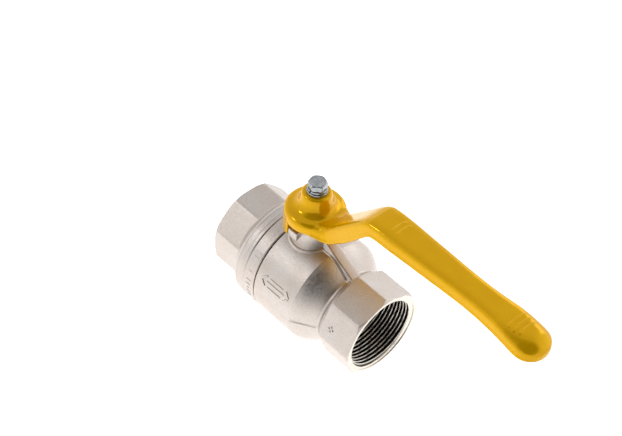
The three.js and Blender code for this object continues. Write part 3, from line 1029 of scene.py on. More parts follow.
def parting_line(sizes, station, angles, radii, collar):
    """Rise of the mould's parting line, low on the barrel and proud on the taper."""
    on_taper = clamped((station - TAPER_START + 0.6) / 1.2)
    on_taper *= clamped((TAPER_END + 1 - station) / 1.5)
    bow = 1.3 * math.sin(math.pi * clamped((station - TAPER_START) / 14))
    off = radii * np.sin(angles) + 2.0 - bow
    rise = 0.16 + 0.64 * on_taper
    width = 0.4 + 0.6 * on_taper
    fade = clamped((collar - 3 - station) / 2) * clamped((station - sizes.seam - 1) / 1.5)
    proud = rise * fade * np.exp(-((off / width) ** 2))
    return np.minimum(proud, sizes.ring_radius + 0.1 - radii)


def connector_radius(sizes, station, angles):
    """The end connector's outer radius at one station."""
    ring = sizes.ring_radius
    outline = (
        (sizes.rear_face, 22),
        (-36, 24.2),
        (-34.4, 26.0),
        (-32, 28.9),
        (-29.6, 32.0),
        (-27.9, 33.2),
        (-26.4, 33.4),
        (-20.9, ring),
        (-12.6, ring),
    )
    base = curve_at(outline, station)
    rounding, drop = 0.7, 0.6
    edge = max(0.0, station - (sizes.seam - SEAM_GAP) + rounding) / rounding
    base -= drop * (1 - math.sqrt(max(0.0, 1 - edge**2)))
    for middle, width, height in ((-20.5, 0.3, -0.45), (-27.2, 0.35, 0.16), (-23.6, 0.4, 0.12)):
        base += bead(station, middle, width, height)
    ring_foot = -28.5
    if station > ring_foot:
        return np.full(angles.shape, base)
    end = octagon_radius(sizes, angles, CONNECTOR_TURN, station, sizes.rear_face)
    return -soft_least(-end, -base, 1.5)


def threaded_casting(name, sizes, turn, direction, face, outer_rings, inner_rings):
    """A casting skin from its outer and inner rings, closed by its threaded socket."""
    materials = shell_finishes()
    angles = crowded_angles(turn)
    mouth = [
        ring_at(face, FACE_FLAT, angles),
        ring_at(face, sizes.mouth_radius + MOUTH_ROUND, angles),
        ring_at(face + direction * MOUTH_ROUND, sizes.mouth_radius, angles),
        ring_at(face + direction * COUNTERBORE, sizes.mouth_radius, angles),
    ]
    rings = inner_rings + outer_rings + mouth
    points, faces = loft(rings, False)
    end_caps = 2
    slots = np.full(len(rings) - 1, CAST)
    slots[: len(inner_rings)] = TURNED
    slots[-len(mouth) :] = TURNED
    skin = mesh_object(name, points, faces[:-end_caps], materials, np.repeat(slots, AROUND))
    sleeve = thread_tree().grown(
        name + "_thread",
        {
            "Start": (face + direction * COUNTERBORE) * MM,
            "Direction": float(direction),
            "Length": (sizes.thread_length - COUNTERBORE) * MM,
            "Pitch": sizes.thread_pitch * MM,
            "Plain Radius": sizes.thread_minor * MM,
            "Cut Radius": sizes.thread_major * MM,
            "Mouth Radius": sizes.mouth_radius * MM,
            "Chamfer": MOUTH_CHAMFER * MM,
            "Fade": 2.5 * MM,
            "Turn": turn,
            "Crowding": CROWDING,
            "External": False,
            "Along": 162,
            "Around": AROUND,
            "Material": materials[CUT],
        },
    )
    casting = welded(skin, sleeve, CUT)
    for polygon in casting.data.polygons:
        depth = abs(polygon.center.x / MM - face)
        if polygon.material_index == CUT and depth < COUNTERBORE + MOUTH_CHAMFER:
            polygon.material_index = TURNED
    return casting


def welded(target, other, slot):
    """Adds the other object's faces to the target in one material slot and closes their seam."""
    work = bmesh.new()
    work.from_mesh(target.data)
    own = len(work.faces)
    work.from_mesh(other.data)
    work.faces.ensure_lookup_table()
    for face in work.faces[own:]:
        face.material_index = slot
    bmesh.ops.remove_doubles(work, verts=work.verts, dist=MERGE)
    bmesh.ops.recalc_face_normals(work, faces=work.faces)
    open_edges = sum(1 for edge in work.edges if len(edge.link_faces) != 2)
    work.to_mesh(target.data)
    work.free()
    bpy.data.objects.remove(other)
    if open_edges:
        raise RuntimeError(f"{target.name} has {open_edges} open edges")
    return target


def surface_height(sizes, x, y):
    """Height of the body's upper surface over the bore axis."""
    flat = np.array([math.pi / 2])
    radius = float(body_radius(sizes, max(x, sizes.seam + 0.8), flat)[0])
    return math.sqrt(max(radius * radius - y * y, 1))


def bonnet(sizes, materials):
    """The stem housing, with a bead that follows the barrel round its foot."""
    angles = np.arange(120) * TAU / 120
    radius, top = sizes.bonnet_radius, sizes.bonnet_top
    foot = (
        (14.55, -0.6),
        (14.5, 0.1),
        (14.3, 0.5),
        (13.9, 0.75),
        (13.4, 0.78),
        (13.0, 0.6),
        (12.75, 0.62),
        (radius + 0.04, 0.95),
        (radius, 1.5),
    )
    rim = ((radius, 38), (radius, top - 0.7), (radius - 0.2, top - 0.2), (radius - 0.7, top))

    def ring(distance, height_at):
        places = [(distance * math.cos(angle), distance * math.sin(angle)) for angle in angles]
        return [(x, y, height_at(x, y)) for x, y in places]

    rings = [ring(14.3, lambda x, y: 26.2)]
    for distance, rise in foot:
        rings.append(ring(distance, lambda x, y: surface_height(sizes, x, y) + rise))
    for distance, height in rim:
        rings.append(ring(distance, lambda x, y: height))
    made = mesh_object("bonnet", *loft(rings, False), materials)
    inner, outer = SPIGOT_RADIUS - 0.2, SPIGOT_RADIUS + 3.1
    profile = [(-20, inner), (-20, outer), (sizes.seam, outer), (sizes.seam, inner)]
    return combined(made, turned("ring_room", profile, materials, radius=0), "DIFFERENCE")


# The rib's half section from its middle out: the distance from the middle, and either a drop
# below the rib's top or a rise over the casting.
RIB_SECTION = (
    (0.0, 0.0, None),
    (2.3, 0.0, None),
    (2.9, 0.12, None),
    (3.25, 0.42, None),
    (3.4, 0.9, None),
    (3.55, None, 0.95),
    (3.8, None, 0.6),
    (4.2, None, 0.45),
    (4.7, None, 0.34),
    (4.95, None, 0.1),
    (5.05, None, -0.5),
    (5.05, None, -1.8),
)
RIB_TOP = ((9, 39.2), (12.5, 38.6), (25, 32.3), (37.3, 25.7))


def rib(sizes, materials):
    """The flat-topped rib from the bonnet down to the collar, with a step at its foot."""
    rings = []
    for x in np.linspace(9.5, 37.2, 44):
        top = curve_at(RIB_TOP, x)
        half = []
        for y, drop, rise in RIB_SECTION:
            ground = surface_height(sizes, x, y)
            height = max(top - ground, 0.05)
            on_top = rise is None
            z = top - min(drop, 0.35 * height) if on_top else ground + min(rise, 0.5 * height)
            half.append((x, y, z))
        rings.append(mirrored_section(half))
    return mesh_object("rib", *loft(rings, False), materials)


def mirrored_section(half):
    """A whole section from its half with y at nought or more, whose first point is the middle."""
    return half + [(x, -y, z) for x, y, z in reversed(half[1:])]


def raised_bar(name, sizes, start, end, width, radius, materials):
    """A cast bar on the barrel between two (station, arc) points."""
    (x0, s0), (x1, s1) = start, end
    along = Vector((x1 - x0, s1 - s0))
    across = Vector((-along.y, along.x)).normalized()
    height = sizes.mark_height
    steps = max(3, int(along.length / 0.9))
    section = ((-0.5, -0.8), (-0.5, 0.1), (-0.36, 1), (0.36, 1), (0.5, 0.1), (0.5, -0.8))
    rings = []
    for part in np.linspace(0, 1, steps + 1):
        taper = 1 if 0 < part < 1 else 0.55
        ring = []
        for side, level in section:
            lift = height * level * (taper if level > 0 else 1)
            centre = Vector((x0, s0)) + along * part + across * side * width
            angle = centre.y / radius
            reach = radius + lift
            ring.append((centre.x, reach * math.cos(angle), reach * math.sin(angle)))
        rings.append(ring)
    return mesh_object(name, *loft(rings, False), materials)


def flow_mark(target, sizes, materials):
    """A generic two-way flow arrow in raised bars, on the barrel's side."""
    radius = sizes.barrel_radius
    level = radius * math.radians(160)
    bars = [((-3.2, 0), (11.2, 0), 1.5)]
    for tip, barb in ((-7.0, -3.6), (15.0, 11.6)):
        bars += [((tip, side * 0.3), (barb, side * 3.6), 1.4) for side in (1, -1)]
    bars += [((-1.5, side * 3.0), (9.5, side * 3.0), 0.9) for side in (1, -1)]
    for number, (start, end, width) in enumerate(bars):
        first, last = (start[0], level + start[1]), (end[0], level + end[1])
        bar = raised_bar(f"flow_bar_{number}", sizes, first, last, width, radius, materials)
        target = combined(target, bar, "UNION")
    return target


def four_dots(target, sizes, materials):
    """Four small raised dots on one flat of the octagon."""
    middle, aside, apart = 44.2, -2.7, 1.4
    tilt = Matrix.Rotation(1.5 * TAU / OCTAGON, 4, "X")
    flat = sizes.flats / 2
    profile = ((flat - 0.5, 0.8), (flat + 0.3, 0.8), (flat + 0.45, 0.55))
    for number, (along, across) in enumerate(((-apart, 0), (apart, 0), (0, -apart), (0, apart))):
        dot = turned_solid(f"dot_{number}", profile, materials, 20)
        place = Matrix.Translation(Vector((middle + along, 0, 0)) * MM)
        dot.data.transform(place @ tilt @ Matrix.Translation(Vector((0, aside + across, 0)) * MM))
        target = combined(target, dot, "UNION")
    return target


class VALVE_OT_cast_body(bpy.types.Operator):
    """Casts the body: barrel, taper, octagonal socket, bonnet, rib and stops"""

    bl_idname = "valve.cast_body"
    bl_label = "Cast Body"

    def execute(self, context):
        sizes = Sizes(context.scene.valve_shell)
        materials = shell_finishes()
        angles = crowded_angles(0)
        seam, face, bore = sizes.seam, sizes.front_face, sizes.bore_radius
        stations = spread(
            (seam + 0.01, seam + 0.7, 5),
            (seam + 0.7, 18.3, 24),
            (18.3, 20.1, 12),
            (20.1, 33, 36),
            (33, 37, 14),
            (37, 39.8, 24),
            (39.8, face - 2.2, 15),
            (face - 2.2, face - 0.15, 20),
            (face - 0.15, face, 2),
        )
        outer = [ring_at(x, body_radius(sizes, x, angles), angles) for x in stations]
        thread_end = face - sizes.thread_length
        passage = (
            (thread_end, sizes.thread_minor),
            (thread_end - 2, bore),
            (POCKET_FLOOR, bore),
            (POCKET_FLOOR, POCKET_RADIUS),
            (POCKET_MOUTH, POCKET_RADIUS),
            (12, BALL_RADIUS + 0.8),
            (SPIGOT_END, BALL_RADIUS + 0.8),
            (SPIGOT_END, SPIGOT_RADIUS),
            (seam, SPIGOT_RADIUS),
        )
        inner = [ring_at(x, radius, angles) for x, radius in passage]
        casting = threaded_casting("body_casting", sizes, 0, -1, face, outer, inner)
        casting = combined(casting, rib(sizes, materials), "UNION")
        casting = combined(casting, bonnet(sizes, materials), "UNION")
        near, far, base, top = 11.7, 17.2, 40.5, 45.8
        for name, start, end in (("open_stop", 258, 282), ("closed_stop", 106, 130)):
            stop = sector(name, near, far, start, end, base, top, materials)
            casting = combined(casting, softened(stop, 0.55, 3), "UNION")
        casting = flow_mark(casting, sizes, materials)
        casting = four_dots(casting, sizes, materials)
        casting = combined(casting, self.stem_well(sizes.bonnet_top, materials), "DIFFERENCE")
        finished(casting, "valve_shell", "nickel_plate", "body", angle=42)
        return {"FINISHED"}

    def stem_well(self, top, materials):
        """The stepped hole for the stem's collar, its shank and the gland nut."""
        profile = (
            (20, COLLAR_HOLE),
            (32.9, COLLAR_HOLE),
            (32.9, SHANK_HOLE),
            (39.5, SHANK_HOLE),
            (39.5, GLAND_HOLE),
            (top - 0.5, GLAND_HOLE),
            (top + 0.4, GLAND_HOLE + 0.9),
            (top + 2, GLAND_HOLE + 0.9),
        )
        return turned_solid("stem_well", profile, materials, slot=TURNED)


class VALVE_OT_cast_end_connector(bpy.types.Operator):
    """Casts the end connector that screws over the body's spigot"""

    bl_idname = "valve.cast_end_connector"
    bl_label = "Cast End Connector"

    def execute(self, context):
        group = context.scene.valve_shell
        sizes = Sizes(group)
        materials = shell_finishes()
        angles = crowded_angles(CONNECTOR_TURN)
        face = sizes.rear_face
        octagon_foot = face + 19.4
        front = sizes.seam - SEAM_GAP
        stations = spread(
            (front - 0.01, front - 0.7, 5),
            (front - 0.7, -19.6, 8),
            (-19.6, -21.4, 12),
            (-21.4, -28.4, 32),
            (-28.4, octagon_foot - 1.5, 30),
            (octagon_foot - 1.5, face + 2.2, 14),
            (face + 2.2, face + 0.15, 20),
            (face + 0.15, face, 2),
        )
        outer = [ring_at(x, connector_radius(sizes, x, angles), angles) for x in stations]
        thread_end = face + sizes.thread_length
        bore = sizes.bore_radius
        passage = (
            (thread_end, sizes.thread_minor),
            (thread_end + 2, bore),
            (-POCKET_FLOOR, bore),
            (-POCKET_FLOOR, POCKET_RADIUS),
            (-POCKET_MOUTH, POCKET_RADIUS),
            (-POCKET_MOUTH, 28),
            (SPIGOT_END - 1.3, 28),
            (SPIGOT_END - 1.3, SPIGOT_RADIUS + 0.3),
            (front, SPIGOT_RADIUS + 0.3),
        )
        inner = [ring_at(x, radius, angles) for x, radius in passage]
        casting = threaded_casting(
            "end_connector_casting", sizes, CONNECTOR_TURN, 1, face, outer, inner
        )
        ticks = tick_tree().grown(
            "ring_ticks",
            {
                "Count": group.ring_ticks,
                "Radius": sizes.ring_radius * MM,
                "Station": -16.2 * MM,
                "Length": 4.6 * MM,
                "Width": 0.62 * MM,
                "Height": 0.4 * MM,
                "Kept": 0.7,
                "Seed": 7,
                "Material": materials[CAST],
            },
        )
        casting = combined(casting, ticks, "UNION")
        finished(casting, "valve_shell", "nickel_plate", "end_connector", angle=42)
        return {"FINISHED"}


# Inner parts


class VALVE_OT_turn_ball(bpy.types.Operator):
    """Turns and slots the chromed ball"""

    bl_idname = "valve.turn_ball"
    bl_label = "Turn Ball"

    def execute(self, context):
        radius, bore = BALL_RADIUS, Sizes(context.scene.valve_shell).bore_radius
        chrome = [material("polished_chrome")]
        reach = math.acos((bore + 0.7) / radius)
        outline = [
            (radius * math.sin(angle), radius * math.cos(angle))
            for angle in np.linspace(-reach, reach, 60)
        ]
        edge = outline[-1][0] + 0.25
        outline += [(edge, bore + 0.35), (edge - 0.5, bore)]
        outline += [(0.5 - edge, bore), (-edge, bore + 0.35)]
        ball = turned("ball_turned", outline, chrome, steps=128, radius=0)
        slot = softened(block("stem_slot", (-4.2, -30, 22), (4.2, 30, 30), chrome), 0.6)
        ball = combined(ball, slot, "DIFFERENCE")
        finished(ball, "ball", "chrome_plate", "ball")
        return {"FINISHED"}


class VALVE_OT_turn_seats_and_seals(bpy.types.Operator):
    """Turns the two seat rings, the seals of body and stem, and the stem's O-rings"""

    bl_idname = "valve.turn_seats_and_seals"
    bl_label = "Turn Seats and Seals"

    def execute(self, context):
        white = [material("white_seal")]
        for side, node in ((1, "seat_ring_front"), (-1, "seat_ring_rear")):
            ring = turned(node + "_turned", self.seat(side), white, steps=128, radius=0.15)
            finished(ring, "valve_shell", "ptfe", node)
        seals = (
            ("body_seal_ring", "X", -20.3, -19.2, 28.4, SPIGOT_RADIUS),
            ("stem_thrust_washer", "Z", 31.4, 32.7, SHANK_HOLE, 9.3),
            ("stem_packing_ring", "Z", 39.7, 43.2, 7.1, 9.7),
        )
        for node, axis, base, top, inner, outer in seals:
            ring = turned(node + "_turned", ring_profile(base, top, inner, outer), white, axis)
            finished(ring, "valve_shell", "ptfe", node)
        for node in ("stem_o_ring_lower", "stem_o_ring_upper"):
            low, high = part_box(node)
            middle = (low.z + high.z) / 2 / MM
            outer = high.x / MM
            section = 0.82
            outline = [
                (middle + section * math.sin(angle), outer - section + section * math.cos(angle))
                for angle in np.arange(16) * TAU / 16
            ]
            ring = turned(node + "_moulded", outline, [material("moulded_rubber")], "Z", radius=0)
            finished(ring, "operator", "black_rubber", node)
        return {"FINISHED"}

    def seat(self, side):
        """A seat's profile, hollowed to the ball with a hair's clearance."""
        inner, contact, outer = 20.3, 23.6, 25.6
        clearance = 0.12

        def at_ball(radius):
            return math.sqrt((BALL_RADIUS + clearance) ** 2 - radius**2)

        radii = np.linspace(inner, contact, 7)
        hollow = [(side * (at_ball(radius) + clearance), radius) for radius in radii]
        back, face = 23.9, at_ball(contact) + 0.2
        shoulder = [(side * face, 25.0), (side * (face + 0.6), outer), (side * back, outer)]
        return [(side * back, inner)] + hollow + shoulder


def ring_profile(base, top, inner, outer):
    """The profile of a plain ring."""
    return [(base, inner), (base, outer), (top, outer), (top, inner)]


class VALVE_OT_turn_stem_and_gland(bpy.types.Operator):
    """Turns the blow-out proof stem and the gland nut"""

    bl_idname = "valve.turn_stem_and_gland"
    bl_label = "Turn Stem and Gland Nut"

    def execute(self, context):
        brass = [material("turned_brass")]
        finished(self.stem(brass), "operator", "plain_brass", "stem")
        flats = Sizes(context.scene.valve_fasteners).gland_flats
        finished(self.gland_nut(flats, brass), "valve_shell", "plain_brass", "gland_nut")
        return {"FINISHED"}

    def stem(self, brass):
        """The stem, with its collar, O-ring grooves, tongue, square and tapped hole."""
        collar, shank, groove = 9.3, 6.9, 5.35
        profile = (
            (27.9, collar - 0.4),
            (28.3, collar),
            (30.9, collar),
            (31.2, collar - 0.3),
            (31.2, shank),
            (33.6, shank),
            (33.6, groove),
            (35.7, groove),
            (35.7, shank),
            (36.8, shank),
            (36.8, groove),
            (38.9, groove),
            (38.9, shank),
            (48.1, shank),
            (48.6, shank - 0.5),
        )
        stem = turned_solid("stem_turned", profile, brass)
        tongue = softened(block("tongue", (-3.9, -8.5, 22.5), (3.9, 8.5, 28.6), brass), 0.4)
        square = softened(block("square", (-4.8, -4.8, 47.6), (4.8, 4.8, 63.6), brass), 0.5)
        stem = combined(combined(stem, tongue, "UNION"), square, "UNION")
        drilled = ((51, 0.4), (52, 3.2), (63, 3.2), (64.5, 4.2))
        return combined(stem, turned_solid("tapped_hole", drilled, brass, 48), "DIFFERENCE")

    def gland_nut(self, flats, brass):
        """The gland nut, with the neck that presses the packing and the stem's clearance hole."""
        nut = hexagon("gland_nut_turned", flats, 45.0, 48.0, brass)
        neck = turned_solid("gland_neck", ((43.4, 9.2), (43.8, 9.6), (45.3, 9.6)), brass)
        nut = combined(nut, neck, "UNION")
        clearance = ((42, SHANK_HOLE), (47.6, SHANK_HOLE), (48.1, SHANK_HOLE + 0.5))
        clearance += ((50, SHANK_HOLE + 0.5),)
        return combined(nut, turned_solid("gland_hole", clearance, brass), "DIFFERENCE")


def hexagon(name, flats, base, top, materials, washer_face=0.0, turn=math.pi / 6):
    """A hexagon about the stem with soft corners, chamfered on top, over an optional round face."""
    around, crowding = 144, 0.75
    lap = np.arange(around) / around
    angles = TAU * lap - crowding / HEXAGON * np.sin(HEXAGON * TAU * lap) + turn
    half = flats / 2
    corner = half / math.cos(TAU / HEXAGON / 2)
    chamfer_edge = half * 0.95
    slope = (corner - chamfer_edge) / 0.62
    prism = polygon_radius(flats, HEXAGON, angles, turn, 9)

    def ring(radii, level):
        across, up = radii * np.cos(angles), radii * np.sin(angles)
        return np.stack([across, up, np.full(around, level)], -1)

    shoulder = base + washer_face
    levels = [base, shoulder, shoulder + 0.05, *np.linspace(top - 1.3, top - 0.1, 12), top]
    rings = []
    for level in levels:
        radii = soft_least(prism, chamfer_edge + (top - level) * slope, 14)
        if level <= shoulder:
            radii = np.minimum(radii, half * 0.96)
        rings.append(ring(radii, level))
    rim = chamfer_edge - 0.45
    for distance, level in ((rim, top), (rim - 0.25, top - 0.06), (rim * 0.5, top - 0.1)):
        rings.append(ring(distance, level))
    return mesh_object(name, *loft(rings, False), materials)


# Lever


# Half the arm's width where its tip begins to round, and along it, as (station, half width).
ARM_TIP_WIDTH = 11.6
ARM_WIDTHS = (
    (6, 16.0),
    (13, 14.0),
    (19, 11.9),
    (26, 11.2),
    (56, 11.15),
    (66, 10.95),
    (77, 10.4),
    (90, 9.85),
    (102, 9.3),
    (114, 8.95),
    (124, 9.1),
    (134, 9.85),
    (142, 10.7),
    (149, 11.35),
    (ARM_TIP_START, ARM_TIP_WIDTH),
)


def arm_width(station):
    """Half the arm's width at its lip."""
    if station <= ARM_TIP_START:
        return curve_at(ARM_WIDTHS, station)
    part = (station - ARM_TIP_START) / (ARM_END + 0.02 - ARM_TIP_START)
    return ARM_TIP_WIDTH * max(1 - part**2.3, 0) ** 0.5


# The arm's section from its top centre round to its underside: shares of the half width, and
# heights that are shares of the depth, measured up from the arm's base. At the tip the shares of
# the half width give way to TIP_SHARES.
ARM_SECTION = (
    (0.0, 1.0),
    (0.3, 1.0),
    (0.5, 0.997),
    (0.65, 0.98),
    (0.77, 0.945),
    (0.86, 0.89),
    (0.915, 0.81),
    (0.943, 0.69),
    (0.955, 0.5),
    (0.96, 0.3),
    (0.975, 0.2),
    (1.0, 0.13),
    (0.995, 0.05),
    (0.96, 0.0),
)
TIP_SHARES = (0.0, 0.18, 0.36, 0.52, 0.66, 0.77, 0.85, 0.91, 0.945, 0.965, 0.975, 1.0, 0.995, 0.96)


def tip_level(x, y, outline, depth):
    """Share of the depth at a point of the tip, which rolls down toward the plan's outline."""
    inside = float(np.hypot(outline[:, 0] - x, outline[:, 1] - abs(y)).min())
    spread_out = clamped((x - 140) / 16)
    width = 3.4 + 5.4 * spread_out
    fall = 2.6 + 3.5 * spread_out
    part = max(0.0, 1 - max(inside - 0.3, 0) / width)
    rolled = 0.45 * part**1.6 + 0.55 * (1 - math.sqrt(max(0.0, 1 - part**2.4)))
    return 1 - fall * rolled / depth


def toward_tip(start, first, count):
    """Stations from the start, or from a first share of the way, that crowd at the arm's end."""
    return start + (ARM_END - start) * np.sin(np.linspace(first, 1, count) * math.pi / 2)


def arm_stations(top):
    """Pairs of upper and lower points along the arm, from inside the hub to the tip."""
    base = top - ARM_DEPTH
    pairs = [
        ((4, 56.3), (4, 49.0)),
        ((10, 56.5), (12, 48.9)),
        ((14.5, 56.9), (18.5, 48.8)),
        ((17.6, 58.2), (22.6, 49.7)),
        ((20.5, 61.1), (26.6, 52.9)),
        ((27, 67.9), (33.2, 58.8)),
        ((34, 75.2), (40.0, 66.3)),
        ((38.5, 79.9), (44.2, 71.5)),
        ((41.6, 83.0), (46.8, 74.6)),
        ((44.6, 85.6), (49.0, 77.0)),
        ((48, 87.3), (51.4, 78.7)),
        ((51.6, top - 0.3), (54, base - 0.2)),
        ((55.4, top - 0.04), (57, base)),
    ]
    pairs += [((x, top), (x, base)) for x in np.linspace(61, ARM_STRAIGHT_END, 18)]
    deepen = ((ARM_STRAIGHT_END, 0), (146, 0.5), (ARM_TIP_START, 1.6), (166, 1.9))
    run = toward_tip(ARM_STRAIGHT_END, 0.08, 36)
    sinks = smooth_through(deepen, run)
    pairs += [((x, top), (x, base - sink)) for x, sink in zip(run, sinks)]
    return pairs


def arm(sizes, materials):
    """The arm lofted through its rounded sections."""
    rings = []
    plan = toward_tip(130, 0, 220)
    outline = np.array([(x, arm_width(x)) for x in plan] + [(ARM_END, 0)])
    for (x_top, z_top), (x_low, z_low) in arm_stations(sizes.top):
        width = arm_width((x_top + x_low) / 2)
        part = clamped((x_low - ARM_STRAIGHT_END) / 6)
        part = part * part * (3 - 2 * part)
        half = []
        for (share, level), tip_share in zip(ARM_SECTION, TIP_SHARES):
            share += (tip_share - share) * part
            if part and level > 0.3:
                rolled = tip_level(x_low, share * width, outline, z_top - z_low)
                level += (rolled - level) * part
            x = x_low + (x_top - x_low) * level
            z = z_low + (z_top - z_low) * level
            half.append((x, share * width, z))
        rings.append(mirrored_section(half))
    return mesh_object("arm", *loft(rings, False), materials)


def lever_hub(sizes, materials):
    """The round hub with its rolled rim and the cone that carries the bolt."""
    radius, base, top, boss = sizes.hub_radius, sizes.hub_base, sizes.hub_top, sizes.boss_top
    profile = (
        (base, radius - 1.2),
        (base + 0.35, radius - 0.35),
        (base + 1.2, radius),
        (top - 3.2, radius),
        (top - 1.9, radius - 0.35),
        (top - 0.9, radius - 1.1),
        (top - 0.3, radius - 2.2),
        (top, radius - 3.6),
        (top + 0.25, 13.2),
        (57.9, 11.6),
        (59.4, 10.35),
        (61.5, 9.55),
        (64, 9.05),
        (66.3, 8.65),
        (boss - 0.35, 8.35),
        (boss, 7.7),
    )
    return turned_solid("hub", profile, materials, 128)


def arm_channel(sizes, materials):
    """The hollow under the arm, which runs out at both ends."""
    start, end, wall, depth, rounding = 63.5, 159.2, 3.4, 4.2, 1.2
    rings = []
    for x in np.linspace(start + 0.5, end - 0.7, 40):
        ease = min(1, math.sqrt(max(0, x - start) / 5), math.sqrt(max(0, end - x) / 5))
        width = (arm_width(x) - wall) * ease
        roof = sizes.top - ARM_DEPTH + depth * min(1, ease * 1.3)
        inner = width - rounding * ease
        floor = [(x, -width, 74), (x, width, 74)]
        vault = [(x, width, roof - rounding), (x, inner, roof)]
        rings.append(floor + vault + [(x, -inner, roof), (x, -width, roof - rounding)])
    return mesh_object("channel", *loft(rings, False), materials)


class VALVE_OT_cast_lever(bpy.types.Operator):
    """Casts and coats the lever: hub, boss, lug and arm in one flowing surface"""

    bl_idname = "valve.cast_lever"
    bl_label = "Cast Lever"

    def execute(self, context):
        sizes = Sizes(context.scene.valve_lever)
        coat = [material("stoved_paint")]
        lever = combined(lever_hub(sizes, coat), arm(sizes, coat), "UNION")
        lug = sector("lug", 14, sizes.hub_radius, 222, 256, 40.4, sizes.hub_base + 2, coat)
        lever = combined(lever, softened(lug, 0.6), "UNION")
        lever = combined(lever, arm_channel(sizes, coat), "DIFFERENCE")
        remesh = lever.modifiers.new("Remesh", "REMESH")
        remesh.mode = "VOXEL"
        remesh.voxel_size = sizes.group.grain
        smooth = lever.modifiers.new("Smooth", "SMOOTH")
        smooth.factor = 0.5
        smooth.iterations = 9
        lever = applied(lever)
        lever.data.materials.clear()
        lever.data.materials.append(coat[0])
        self.press_marks(lever, sizes)
        socket = softened(block("socket", (-5.1, -5.1, 47), (5.1, 5.1, 64.2), coat), 0.4)
        lever = combined(lever, socket, "DIFFERENCE")
        hole = turned_solid("bolt_hole", ((63, WASHER_HOLE), (69, WASHER_HOLE)), coat, 64)
        lever = combined(lever, hole, "DIFFERENCE")
        finished(lever, "operator", "yellow_coat", "lever", angle=50)
        return {"FINISHED"}

    def press_marks(self, lever, sizes):
        """Low ribs on the arm: three for the thumb near the tip and two behind the bend."""
        ribs = ((143.5, 6.4), (147.0, 6.4), (150.5, 5.4), (60.5, 5.0), (64.0, 5.0))
        radius, height = 0.8, 0.38
        work = bmesh.new()
        work.from_mesh(lever.data)
        for vert in work.verts:
            x, y, z = (value / MM for value in vert.co)
            if z < sizes.top - 3 or x < 55:
                continue
            for station, half in ribs:
                bow = station + 0.02 * y * y
                off = math.hypot(x - bow, max(abs(y) - half, 0))
                if off < radius:
                    vert.co.z += height * MM * (math.cos(off / radius * math.pi) + 1) / 2
        work.to_mesh(lever.data)
        work.free()


# Fasteners


class VALVE_OT_fit_bolt_and_washers(bpy.types.Operator):
    """Makes the hexagon bolt, its spring washer and its flat washer"""

    bl_idname = "valve.fit_bolt_and_washers"
    bl_label = "Fit Bolt and Washers"

    def execute(self, context):
        sizes = Sizes(context.scene.valve_fasteners)
        zinc = [material("mottled_zinc")]
        bolt = hexagon(
            "lever_bolt_turned",
            sizes.bolt_flats,
            sizes.head_base,
            sizes.head_top,
            zinc,
            washer_face=0.35,
            turn=BOLT_TURN,
        )
        bolt = combined(bolt, self.threaded_shank(sizes, zinc), "UNION")
        finished(bolt, "operator", "zinc_plate", "lever_bolt", angle=35)

        flat = self.washer("flat_washer", "flat_washer_turned", zinc, 0.35)
        finished(flat, "operator", "zinc_plate", "flat_washer")

        spring = self.washer("lock_washer", "lock_washer_coiled", zinc, 0.3)
        spring = combined(spring, self.washer_gap("lock_washer", zinc), "DIFFERENCE")
        finished(spring, "operator", "zinc_plate", "lock_washer")
        return {"FINISHED"}

    def washer(self, node, name, materials, rounding):
        """A washer in the room of its frame node."""
        low, high = corner_mm(node, False), corner_mm(node, True)
        outline = ring_profile(low.z, high.z, WASHER_HOLE, high.x)
        return turned(name, outline, materials, "Z", 96, rounding)

    def washer_gap(self, node, materials):
        """The slanting gap of a spring washer, which passes it by a millimetre above and below."""
        low, high = corner_mm(node, False).z, corner_mm(node, True).z
        gap = block("washer_gap", (-0.4, -9, low - 1), (0.4, -1, high + 1), materials)
        slant = Matrix.Rotation(math.radians(20), 4, "Y")
        middle = Matrix.Translation((0, 0, (low + high) / 2 * MM))
        gap.data.transform(middle @ slant @ middle.inverted())
        return gap

    def threaded_shank(self, sizes, materials):
        """The shank along Z, threaded from its point up."""
        around, threaded, tip_radius = 48, 11.0, 2.3
        point, top = BOLT_POINT, sizes.head_base + 0.3
        sleeve = thread_tree().grown(
            "shank_thread",
            {
                "Start": point * MM,
                "Direction": 1.0,
                "Length": threaded * MM,
                "Pitch": sizes.bolt_pitch * MM,
                "Plain Radius": sizes.bolt_radius * MM,
                "Cut Radius": (sizes.bolt_radius - 0.5) * MM,
                "Mouth Radius": tip_radius * MM,
                "Chamfer": 0.7 * MM,
                "Fade": 1.2 * MM,
                "Turn": 0.0,
                "Crowding": 0.0,
                "External": True,
                "Along": 110,
                "Around": around,
                "Material": materials[0],
            },
        )
        angles = np.arange(around) * TAU / around
        radius = sizes.bolt_radius
        rings = [ring_at(point + threaded, radius, angles), ring_at(top, radius, angles)]
        points, faces = loft(rings, False)
        faces.pop(-2)
        points = np.concatenate([points, ring_at(point, tip_radius, angles)])
        faces.append(list(range(2 * around, 3 * around)))
        shank = welded(mesh_object("shank", points, faces, materials), sleeve, 0)
        upright = Matrix(((0, 1, 0, 0), (0, 0, 1, 0), (1, 0, 0, 0), (0, 0, 0, 1)))
        shank.data.transform(upright)
        return shank


# Studio


